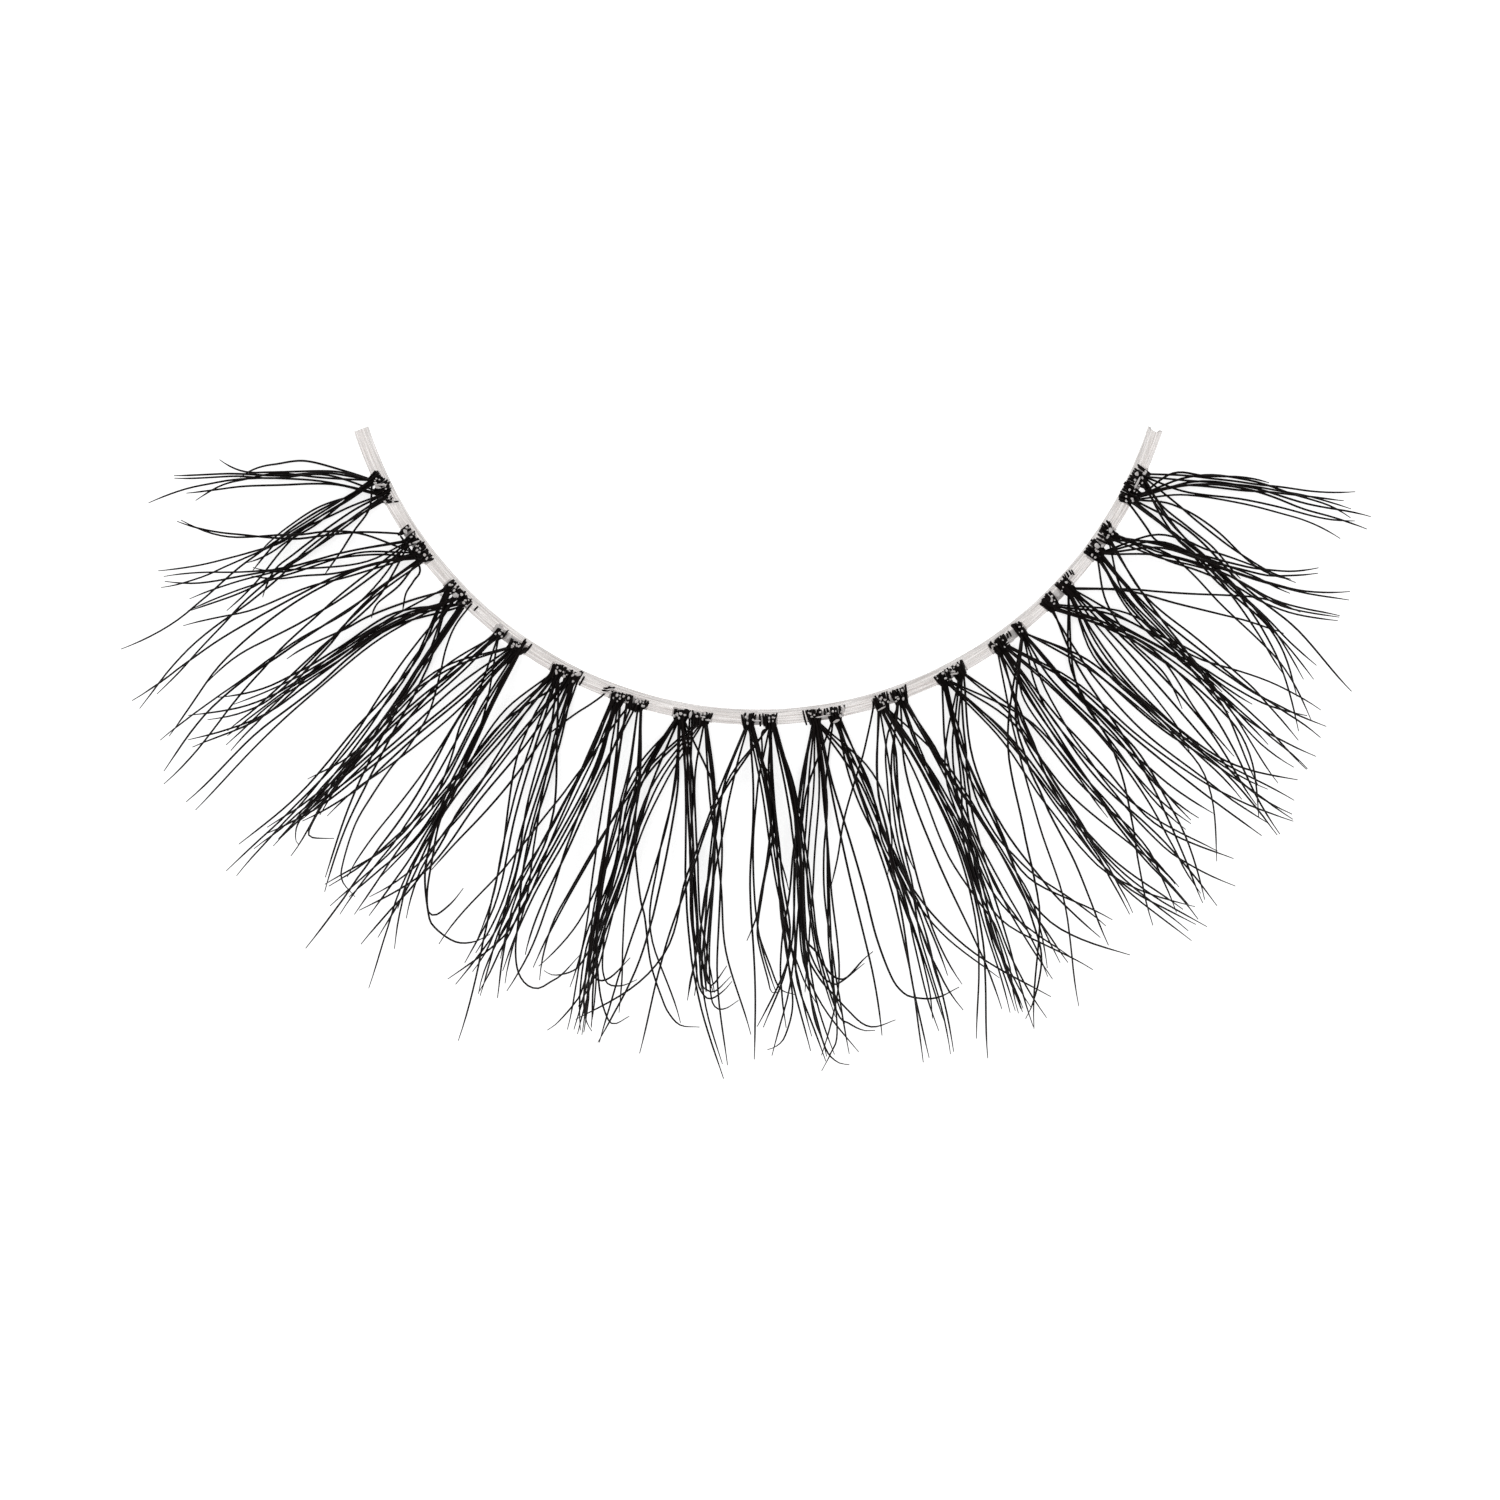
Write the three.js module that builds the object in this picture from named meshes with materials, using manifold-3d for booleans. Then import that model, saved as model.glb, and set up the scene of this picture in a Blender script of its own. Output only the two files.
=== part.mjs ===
// False eyelash strip: a thin clear band bent to the curve of an eyelid, with clusters of dark
// lashes glued on top of it. Millimetres, +Z up. The strip lies on the band's glue face and bows
// towards -Y, and its lashes run outward along the surface before they curl up to their tips.

import * as THREE from "three";
import { mergeVertices } from "three/addons/utils/BufferGeometryUtils.js";
import Module from "manifold-3d";

const wasm = await Module();
wasm.setup();

// The band, measured along and from the middle line of its width
const BAND_LENGTH = 34;
const BAND_RADIUS = 13.53;
const BAND_WIDTH = 0.5;
const BAND_THICKNESS = 0.12;
const BAND_STEPS = 40;
const RIB_WIDTH = 0.11;
const RIB_HEIGHT = 0.05;
const NOTCH_RADIUS = 0.13;

// The clusters, each glued to the band by two knots with a low bridge between them
const CLUSTER_COUNT = 15;
const CLUSTER_PITCH = 2.15;
const KNOT_SPACING = 0.64;
const KNOT_WIDTH = 0.46;
const KNOT_HEIGHT = 0.3;
const KNOT_SETBACK = 0.35;
const KNOT_OVERHANG = 0.3;
const BRIDGE_HEIGHT = 0.18;
const KNOT_STEPS = 2;

// The lashes, with their reach and height measured in plan from the band's middle line
const LASH_REACH = 11;
const CURL_START = 2;
const CURL_RISE = 4.6;
const ROOT_REACH = 0.4;
const SETTLE_REACH = 0.9;
const LOCK_WIDTH = 0.36;
const LOCK_THICKNESS = 0.18;
const LOCK_STAGGER = 0.04;
const LAYER_CLEARANCE = 0.12;
const TIP_TAPER = 0.7;
const LOCK_STEPS = 5;

// A lock's section as shares of half its width and half its thickness
const LOCK_SECTION = [
  [-1, 0],
  [-0.5, 1],
  [0.5, 1],
  [1, 0],
  [0.5, -1],
  [-0.5, -1],
];

// The locks of each cluster. The first four columns are where a lock stands beside its cluster's
// centre line, as shares of the pitch: at its root, at a third and two thirds of its reach and at
// its tip. The last is its reach as a share of LASH_REACH.
const LOCK_COLUMNS = ["cluster", "root", "third", "twoThirds", "tip", "reach"];
const LOCKS = [
  [1, -0.13, -0.6, -0.85, -1.01, 0.56],
  [1, 0.04, -0.51, -0.76, -0.87, 0.65],
  [1, -0.09, 0.03, 0.19, 0.45, 0.89],
  [1, 0.18, 0.34, 0.54, 0.73, 0.94],
  [2, -0.15, -0.49, -0.62, -0.75, 0.66],
  [2, 0.07, -0.22, -0.57, -0.91, 0.7],
  [2, 0.12, -0.28, -0.31, -0.27, 0.94],
  [2, -0.05, -0.01, 0.2, 0.58, 1],
  [2, 0.17, 0.17, 0.11, 0.09, 0.93],
  [2, 0.21, 0.29, 0.41, 0.52, 0.8],
  [3, -0.13, -0.46, -0.57, -0.8, 0.73],
  [3, 0.02, -0.38, -0.54, -0.71, 0.86],
  [3, 0.06, -0.32, -0.34, -0.25, 0.99],
  [3, -0.05, 0.25, 0.31, 0.33, 1.04],
  [3, 0.14, 0.34, 0.48, 0.67, 0.88],
  [4, -0.15, -0.52, -0.54, -0.74, 0.88],
  [4, 0.02, -0.2, -0.41, -0.64, 0.88],
  [4, 0.04, 0.1, 0.1, 0.03, 0.84],
  [4, 0.13, 0.26, 0.27, 0.15, 0.94],
  [4, 0.23, 0.42, 0.57, 0.77, 1.1],
  [5, -0.16, -0.47, -0.64, -0.99, 0.9],
  [5, -0.03, -0.29, -0.33, -0.57, 0.97],
  [5, -0.07, 0.01, 0.43, 0.6, 1.1],
  [5, 0.12, 0.16, 0.38, 0.45, 0.87],
  [5, 0.18, 0.34, 0.52, 0.58, 0.96],
  [6, -0.19, -0.35, -0.63, -0.95, 0.86],
  [6, -0.16, -0.31, -0.4, -0.55, 0.96],
  [6, -0.05, -0.16, -0.31, -0.42, 0.88],
  [6, 0.03, -0.01, -0.12, -0.25, 0.8],
  [6, 0.07, 0.1, 0.3, 0.43, 0.9],
  [6, 0.21, 0.36, 0.44, 0.58, 0.97],
  [7, -0.19, -0.54, -0.58, -0.52, 0.97],
  [7, -0.1, -0.58, -0.91, -1.1, 0.83],
  [7, -0.1, -0.38, -0.48, -0.42, 0.98],
  [7, 0, -0.07, -0.15, -0.35, 0.98],
  [7, 0.04, 0.13, 0.38, 0.74, 1.05],
  [7, 0.22, 0.51, 0.52, 0.7, 1],
  [8, -0.16, -0.49, -0.52, -0.62, 0.83],
  [8, -0.11, -0.4, -0.36, 0, 0.91],
  [8, -0.05, -0.1, 0, 0.03, 0.98],
  [8, 0.14, 0.2, 0.25, 0.41, 0.96],
  [8, 0.22, 0.5, 0.57, 0.63, 0.98],
  [9, -0.2, -0.54, -0.67, -0.9, 0.88],
  [9, -0.14, -0.44, -0.5, -0.4, 1.02],
  [9, -0.1, -0.19, -0.3, -0.34, 0.98],
  [9, -0.07, -0.07, 0, 0.11, 0.95],
  [9, 0.13, 0.34, 0.55, 0.64, 1.03],
  [9, 0.2, 0.45, 0.43, 0.37, 1.04],
  [10, -0.18, -0.53, -0.58, -0.63, 1.03],
  [10, -0.09, -0.34, -0.36, -0.33, 0.98],
  [10, -0.02, -0.14, 0.01, 0.12, 0.95],
  [10, 0.11, 0.25, 0.12, -0.17, 1.07],
  [10, 0.09, 0.24, 0.26, 0.22, 0.98],
  [10, 0.18, 0.45, 0.47, 0.54, 0.92],
  [10, 0.16, 0.43, 0.66, 0.68, 0.9],
  [11, -0.14, -0.52, -0.73, -0.78, 0.98],
  [11, 0, -0.34, -0.32, 0.13, 0.98],
  [11, 0.09, 0.23, 0.02, -0.27, 1],
  [11, 0.11, 0.34, 0.48, 0.82, 1],
  [11, 0.22, 0.49, 0.5, 0.68, 0.9],
  [12, -0.22, -0.51, -0.53, -0.22, 1],
  [12, -0.18, -0.26, -0.21, -0.18, 0.94],
  [12, -0.11, -0.12, -0.04, 0.12, 0.99],
  [12, 0.02, 0.16, 0.16, -0.04, 0.93],
  [12, 0.13, 0.31, 0.3, 0.01, 0.96],
  [12, 0.18, 0.42, 0.58, 0.89, 0.92],
  [13, -0.18, -0.45, -0.34, -0.19, 0.9],
  [13, -0.07, -0.23, -0.16, -0.04, 0.83],
  [13, 0.09, 0.07, -0.03, -0.11, 0.93],
  [13, 0.07, 0.33, 0.31, -0.05, 0.89],
  [13, 0.16, 0.33, 0.45, 0.43, 0.88],
  [13, 0.22, 0.57, 0.66, 0.78, 0.85],
  [14, -0.15, -0.43, -0.51, -0.79, 0.77],
  [14, -0.03, -0.37, -0.36, -0.22, 0.85],
  [14, 0.1, 0.3, 0.11, -0.13, 0.81],
  [14, 0.16, 0.51, 0.48, 0.16, 0.84],
  [14, 0.13, 0.44, 0.54, 0.65, 0.71],
  [14, 0.2, 0.51, 0.66, 0.85, 0.71],
  [15, -0.15, -0.4, -0.64, -0.99, 0.74],
  [15, -0.07, -0.32, -0.53, -0.82, 0.84],
  [15, 0.08, -0.01, -0.13, -0.24, 0.52],
  [15, 0.1, 0.27, 0.45, 0.53, 0.62],
  [15, 0.15, 0.45, 0.63, 0.7, 0.67],
  [15, 0.21, 0.54, 0.74, 0.89, 0.61],
].map((row) => Object.fromEntries(LOCK_COLUMNS.map((name, column) => [name, row[column]])));

const BAND_HALF_ANGLE = BAND_LENGTH / 2 / BAND_RADIUS;
const PITCH_ANGLE = CLUSTER_PITCH / BAND_RADIUS;
const INNER_RADIUS = BAND_RADIUS - BAND_WIDTH / 2;
const OUTER_RADIUS = BAND_RADIUS + BAND_WIDTH / 2;

const bandMaterial = new THREE.MeshStandardMaterial({ color: 0xded6d4, roughness: 0.35, metalness: 0 });
const lashMaterial = new THREE.MeshStandardMaterial({ color: 0x1a1416, roughness: 0.42, metalness: 0 });

// A closed mesh with shared vertices becomes a solid that can be joined and cut
function toSolid(geometry) {
  geometry.deleteAttribute("normal");
  geometry.deleteAttribute("uv");
  const merged = mergeVertices(geometry, 1e-5);
  const vertProperties = Float32Array.from(merged.attributes.position.array);
  const triVerts = Uint32Array.from(merged.index.array);
  return new wasm.Manifold(new wasm.Mesh({ numProp: 3, vertProperties, triVerts }));
}

function toGeometry(solid) {
  const mesh = solid.getMesh();
  const geometry = new THREE.BufferGeometry();
  geometry.setAttribute("position", new THREE.BufferAttribute(mesh.vertProperties, 3));
  geometry.setIndex(new THREE.BufferAttribute(mesh.triVerts, 1));
  geometry.computeVertexNormals();
  return geometry;
}

// Crossing locks can close in a pocket of air between them, which is filled
function withoutPockets(solid) {
  const [filled] = solid.decompose().filter((body) => body.volume() > 0);
  return filled;
}

// The plan position at an angle from the strip's middle, about the centre of the band's arc
function planPoint(angle, radius) {
  return new THREE.Vector2(radius * Math.sin(angle), -radius * Math.cos(angle));
}

// A slab bent along the band, between two angles, two radii and two heights
function arcSlab(startAngle, endAngle, innerRadius, outerRadius, bottom, top, steps) {
  const angles = Array.from({ length: steps + 1 }, (_, step) =>
    THREE.MathUtils.lerp(startAngle, endAngle, step / steps),
  );
  const outerEdge = angles.map((angle) => planPoint(angle, outerRadius));
  const innerEdge = angles.map((angle) => planPoint(angle, innerRadius)).reverse();
  const outline = new THREE.Shape([...outerEdge, ...innerEdge]);
  const slab = new THREE.ExtrudeGeometry(outline, { depth: top - bottom, bevelEnabled: false });
  return slab.translate(0, 0, bottom);
}

function makeBand() {
  const [start, end] = [-BAND_HALF_ANGLE, BAND_HALF_ANGLE];
  const filmInner = INNER_RADIUS + RIB_WIDTH / 2;
  const ribOuter = INNER_RADIUS + RIB_WIDTH;
  const ribTop = BAND_THICKNESS + RIB_HEIGHT;
  const film = arcSlab(start, end, filmInner, OUTER_RADIUS, 0, BAND_THICKNESS, BAND_STEPS);
  const rib = arcSlab(start, end, INNER_RADIUS, ribOuter, 0, ribTop, BAND_STEPS);
  const notchCentre = planPoint(end, BAND_RADIUS);
  const notch = new THREE.CylinderGeometry(NOTCH_RADIUS, NOTCH_RADIUS, 4 * ribTop, 12);
  notch.rotateX(Math.PI / 2).translate(notchCentre.x, notchCentre.y, 0);
  const solid = toSolid(film).add(toSolid(rib)).subtract(toSolid(notch));
  const band = new THREE.Mesh(toGeometry(solid), bandMaterial);
  band.name = "band";
  return band;
}

// How far the lashes have risen from the surface they lie on
function curlHeight(reach) {
  const run = Math.max(0, reach - CURL_START) / (LASH_REACH - CURL_START);
  return CURL_RISE * run * run;
}

function curlSlope(reach) {
  const run = Math.max(0, reach - CURL_START) / (LASH_REACH - CURL_START);
  return (2 * CURL_RISE * run) / (LASH_REACH - CURL_START);
}

// Something laid on the slope is this much taller, measured upright, than it is thick
function uprightShare(reach) {
  return Math.hypot(1, curlSlope(reach));
}

// The middle height of a lock. Locks leave their knot at one height. Those of a low cluster settle
// on the surface, and those of a raised cluster pass over their neighbours with a clearance.
function lockHeight(reach, raised, stagger) {
  const rootHeight = BAND_THICKNESS + KNOT_HEIGHT / 2;
  const layer = LOCK_THICKNESS + LOCK_STAGGER * maxLocks + LAYER_CLEARANCE;
  const lift = (raised ? layer : 0) + stagger;
  const laidHeight = LOCK_THICKNESS / 2 + lift * uprightShare(reach);
  const settled = THREE.MathUtils.smoothstep(reach, ROOT_REACH, SETTLE_REACH);
  return THREE.MathUtils.lerp(rootHeight, laidHeight, settled) + curlHeight(reach);
}

const clusterLocks = Array.from({ length: CLUSTER_COUNT }, (_, index) =>
  LOCKS.filter((lock) => lock.cluster === index + 1),
);
const maxLocks = Math.max(...clusterLocks.map((locks) => locks.length));

// A lock is a flattened, tapering strand bundle whose section is carried along its route in plan
function lockGeometry(lock, centreAngle, raised, stagger) {
  const shares = [lock.root, lock.third, lock.twoThirds, lock.tip];
  const fullReach = lock.reach * LASH_REACH;
  const route = new THREE.SplineCurve(
    shares.map((share, index) => {
      const reach = THREE.MathUtils.lerp(ROOT_REACH, fullReach, index / 3);
      return planPoint(centreAngle + share * PITCH_ANGLE, BAND_RADIUS + reach);
    }),
  );
  const positions = [];
  for (let ring = 0; ring <= LOCK_STEPS; ring += 1) {
    const along = ring / LOCK_STEPS;
    const middle = route.getPoint(along);
    const heading = route.getTangent(along);
    const taper = 1 - TIP_TAPER * along * along;
    for (const [across, over] of LOCK_SECTION) {
      const sideways = (across * taper * LOCK_WIDTH) / 2;
      const x = middle.x + heading.y * sideways;
      const y = middle.y - heading.x * sideways;
      const reach = Math.hypot(x, y) - BAND_RADIUS;
      const upright = (over * taper * LOCK_THICKNESS * uprightShare(reach)) / 2;
      positions.push(x, y, lockHeight(reach, raised, stagger) + upright);
    }
  }
  const geometry = new THREE.BufferGeometry();
  geometry.setAttribute("position", new THREE.Float32BufferAttribute(positions, 3));
  geometry.setIndex(ringIndices(LOCK_STEPS + 1, LOCK_SECTION.length));
  return geometry;
}

// The faces that join rings of points into a closed tube with flat ends
function ringIndices(rings, sides) {
  const faces = [];
  const lastRing = (rings - 1) * sides;
  for (let ring = 0; ring < rings - 1; ring += 1) {
    for (let side = 0; side < sides; side += 1) {
      const here = ring * sides + side;
      const beside = ring * sides + ((side + 1) % sides);
      faces.push(here, beside, here + sides);
      faces.push(beside, beside + sides, here + sides);
    }
  }
  for (let side = 1; side < sides - 1; side += 1) {
    faces.push(0, side + 1, side);
    faces.push(lastRing, lastRing + side, lastRing + side + 1);
  }
  return faces;
}

// The two knots of a cluster and the low bridge of glue between them, seated on the band
function knotSolids(centreAngle) {
  const halfSpacing = KNOT_SPACING / 2 / BAND_RADIUS;
  const halfWidth = KNOT_WIDTH / 2 / BAND_RADIUS;
  const inner = OUTER_RADIUS - KNOT_SETBACK;
  const outer = OUTER_RADIUS + KNOT_OVERHANG;
  const seat = BAND_THICKNESS;
  const knots = [-halfSpacing, halfSpacing].map((offset) => {
    const middle = centreAngle + offset;
    const [start, end] = [middle - halfWidth, middle + halfWidth];
    return arcSlab(start, end, inner, outer, seat, seat + KNOT_HEIGHT, KNOT_STEPS);
  });
  const bridgeInner = (inner + OUTER_RADIUS) / 2;
  const [start, end] = [centreAngle - halfSpacing, centreAngle + halfSpacing];
  const bridgeTop = seat + BRIDGE_HEIGHT;
  const bridge = arcSlab(start, end, bridgeInner, OUTER_RADIUS, seat, bridgeTop, KNOT_STEPS);
  return [...knots, bridge].map(toSolid);
}

function makeCluster(index) {
  const centreAngle = (index - (CLUSTER_COUNT - 1) / 2) * PITCH_ANGLE;
  const raised = index % 2 === 1;
  const locks = clusterLocks[index].map((lock, order) =>
    toSolid(lockGeometry(lock, centreAngle, raised, order * LOCK_STAGGER)),
  );
  const joined = [...knotSolids(centreAngle), ...locks].reduce((whole, piece) => whole.add(piece));
  const cluster = new THREE.Mesh(toGeometry(withoutPockets(joined)), lashMaterial);
  cluster.name = `lash_cluster_${String(index + 1).padStart(2, "0")}`;
  return cluster;
}

const strip = new THREE.Group();
strip.add(makeBand());
for (let index = 0; index < CLUSTER_COUNT; index += 1) {
  strip.add(makeCluster(index));
}

// The origin is under the middle of the whole strip, on the surface that it lies on
const reachBox = new THREE.Box3().setFromObject(strip, true);
const middle = reachBox.getCenter(new THREE.Vector3());
strip.position.set(-middle.x, -middle.y, -reachBox.min.z);

export default strip;
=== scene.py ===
# A false eyelash strip lying on a pale surface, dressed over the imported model. Lengths in the
# tables are in millimetres and become metres where a mesh is made. Angles are in degrees about the
# centre of the band's arc, from the strip's middle line, and positive towards the photo's right.

import math

import bpy
import numpy as np
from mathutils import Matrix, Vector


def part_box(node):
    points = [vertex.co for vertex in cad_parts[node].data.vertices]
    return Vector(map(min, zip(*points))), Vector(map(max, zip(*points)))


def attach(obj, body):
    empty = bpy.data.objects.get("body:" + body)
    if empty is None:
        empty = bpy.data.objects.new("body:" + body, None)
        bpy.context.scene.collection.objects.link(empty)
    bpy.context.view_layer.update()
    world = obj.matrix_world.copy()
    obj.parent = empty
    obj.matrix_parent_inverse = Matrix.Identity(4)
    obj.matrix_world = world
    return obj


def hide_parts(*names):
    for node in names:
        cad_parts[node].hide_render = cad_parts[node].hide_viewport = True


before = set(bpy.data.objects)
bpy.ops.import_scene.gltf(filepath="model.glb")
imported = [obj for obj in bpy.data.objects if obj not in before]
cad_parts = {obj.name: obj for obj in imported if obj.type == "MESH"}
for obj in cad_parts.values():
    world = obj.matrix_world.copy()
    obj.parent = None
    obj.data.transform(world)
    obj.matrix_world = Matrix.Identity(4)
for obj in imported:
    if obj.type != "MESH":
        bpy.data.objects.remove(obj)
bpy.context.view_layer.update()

MM = 0.001

# The band and the clusters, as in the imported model
BAND_RADIUS = 13.53
BAND_LENGTH = 34
BAND_WIDTH = 0.5
BAND_THICKNESS = 0.12
BAND_HALF_ANGLE = math.degrees(BAND_LENGTH / 2 / BAND_RADIUS)
NOTCH_RADIUS = 0.13
CLUSTER_COUNT = 15
CLUSTER_PITCH = 2.15
PITCH_ANGLE = math.degrees(CLUSTER_PITCH / BAND_RADIUS)
LASH_REACH = 11
CURL_START = 2
CURL_RISE = 4.6
LAYER = 0.58

# The band's mesh, with how far its edges and its thickness stray along it
BAND_STATIONS = 361
EDGE_WAVES = 40
EDGE_WANDER = 0.003
THICKNESS_WAVES = 60
THICKNESS_WANDER = 0.03
FOOT_HEIGHT = 0.02
LEFT_END_LEAN = 0.02
NOTCH_OFFSET = 0.01

# The fibres, with the gaps that they keep to the floor and to the band's glue
FIBRE_REACH = 11.2
FIBRE_RADIUS = 0.0345
RADIUS_SPREAD = (0.92, 1.08)
FIBRE_SIDES = 6
FIBRE_STATIONS = 30
HOOK_STATIONS = 72
CURVE_STEPS = 8
FIBRE_SPACING = 0.12
LIFT_RANGE = 0.26
ROOT_LIFT_SHARE = 0.6
FLOOR_GAP = 0.01
GLUE_GAP = 0.03
SETTLE = (0.3, 1.6)
TAPER_START = 0.5
HOOK_TAPER_START = 0.6
TIP_START = 0.92

# How each fibre strays from its bundle, in degrees at the five columns of LASHES and in
# millimetres at its tip
WANDER = np.array([0.06, 0.27, 0.31, 0.38, 0.6])
LONE_WANDER_SHARE = 0.5
TIP_BEND = 0.22
TIP_BEND_START = 0.75

# The knots narrow to a neck where their fibres leave them. Some fibres come from the far knot.
NECK_REACH = 0.36
NECK_SHARE = 0.8
CROSSING_SHARE = 0.3
CROSSING_HEADING = 1
CROSSING_LEAN = 0.5
ORDER_SPREAD = 0.6
CUT_WANDER = 0.12
CUT_SPREAD = (-0.05, 0.03)

# The cut ends in the glue, from their outer end to their cut end
ROOT_SPACING = 0.12
ROOT_FOOT = 0.34
ROOT_FOOT_SPREAD = 0.1
ROOT_LEAN = 0.2
ROOT_DEPTH = 0.16
ROOT_BEND = 0.008
ROOT_RISE = np.array([0.03, 0.05, 0.05, 0.03, 0])
ROOT_TAPER = np.array([0.8, 1, 1, 1, 0.85])
FRAY_LIFT = 0.02

# How neighbouring fibres push one another aside, worked out at steps of their reach
PUSH_STEP = 0.2
PUSH_REACH = 12.6
PUSH_SHARE = 0.4
PUSH_RANGE = 0.09
PUSH_LIMIT = 0.16
PUSH_FADE = (0.3, 2.2)
PUSH_SMOOTHING = np.array([1, 2, 3, 2, 1]) / 9

# The glue: dark domes in the knots' necks, a low clear one under each cluster, and clear drops
DARK_REACH = (0.14, 0.4)
DARK_CROWN = 0.25
DARK_LUMPS = 0.02
CLEAR_REACH = (-0.06, 0.26)
CLEAR_BASE = BAND_THICKNESS - 0.005
CLEAR_CROWN = 0.18
CLEAR_MARGIN = 0.25
CLEAR_LUMPS = 0.006
DOME_COLUMNS = 15
DOME_ROWS = 9
DOME_DEPTH = 0.015
DROPS_PER_DEGREE = 3
DROP_SIZE = (0.022, 0.042)
DROP_REACH = (-0.04, 0.28)
DROP_HEIGHT = (0.35, 0.4)
DROP_RINGS = 5
DROP_SIDES = 8
SPOT_HEIGHT = 0.39
SPOT_THICKNESS = 0.03

# The camera stands straight above, as far away as the photo's flat look asks for
CAMERA_LENS = 200
CAMERA_SENSOR = 36
VIEW_WIDTH = 48.62
CAMERA_HEIGHT = VIEW_WIDTH * CAMERA_LENS / CAMERA_SENSOR
CAMERA_PLAN = np.array([-0.019, -0.004])

# The floor and the light, in metres and watts
FLOOR_RADIUS = 1.1
FLOOR_RISE = 0.4
FLOOR_SIDES = 96
FLOOR_RINGS = 13
FLOOR_DROP = 2e-6
SKY_STRENGTH = 0.36

band_low, band_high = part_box("band")
ARC_CENTRE = np.array(
    [
        (band_low.x + band_high.x) / 2 / MM,
        band_low.y / MM + BAND_RADIUS + BAND_WIDTH / 2,
    ]
)

# The band's section: shares of its width from the inner edge, and the height there
BAND_SECTION = (
    (0, 0.02), (0, 0.13), (0.03, 0.16), (0.1, 0.17), (0.18, 0.165), (0.24, 0.128),
    (0.34, 0.12), (0.44, 0.124), (0.5, 0.132), (0.56, 0.124), (0.66, 0.118), (0.8, 0.122),
    (0.9, 0.12), (0.97, 0.108), (1, 0.085), (1, 0.02), (0.97, 0), (0.8, 0), (0.65, 0),
    (0.5, 0), (0.35, 0), (0.2, 0), (0.03, 0),
)

# The band's colour across its width, as shares of it from the inner edge. Its lighter and darker
# lines are painted highlight and shade of the raised rib and shallow grooves, over the film's milky
# tint.
BAND_TINT_AND_PAINTED_LINES = (
    (0, (0.62, 0.58, 0.55)),
    (0.14, (0.6, 0.55, 0.52)),
    (0.26, (0.68, 0.62, 0.585)),
    (0.45, (0.76, 0.7, 0.66)),
    (0.6, (0.73, 0.67, 0.63)),
    (0.68, (0.68, 0.61, 0.58)),
    (0.82, (0.75, 0.69, 0.66)),
    (1, (0.68, 0.62, 0.59)),
)

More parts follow.
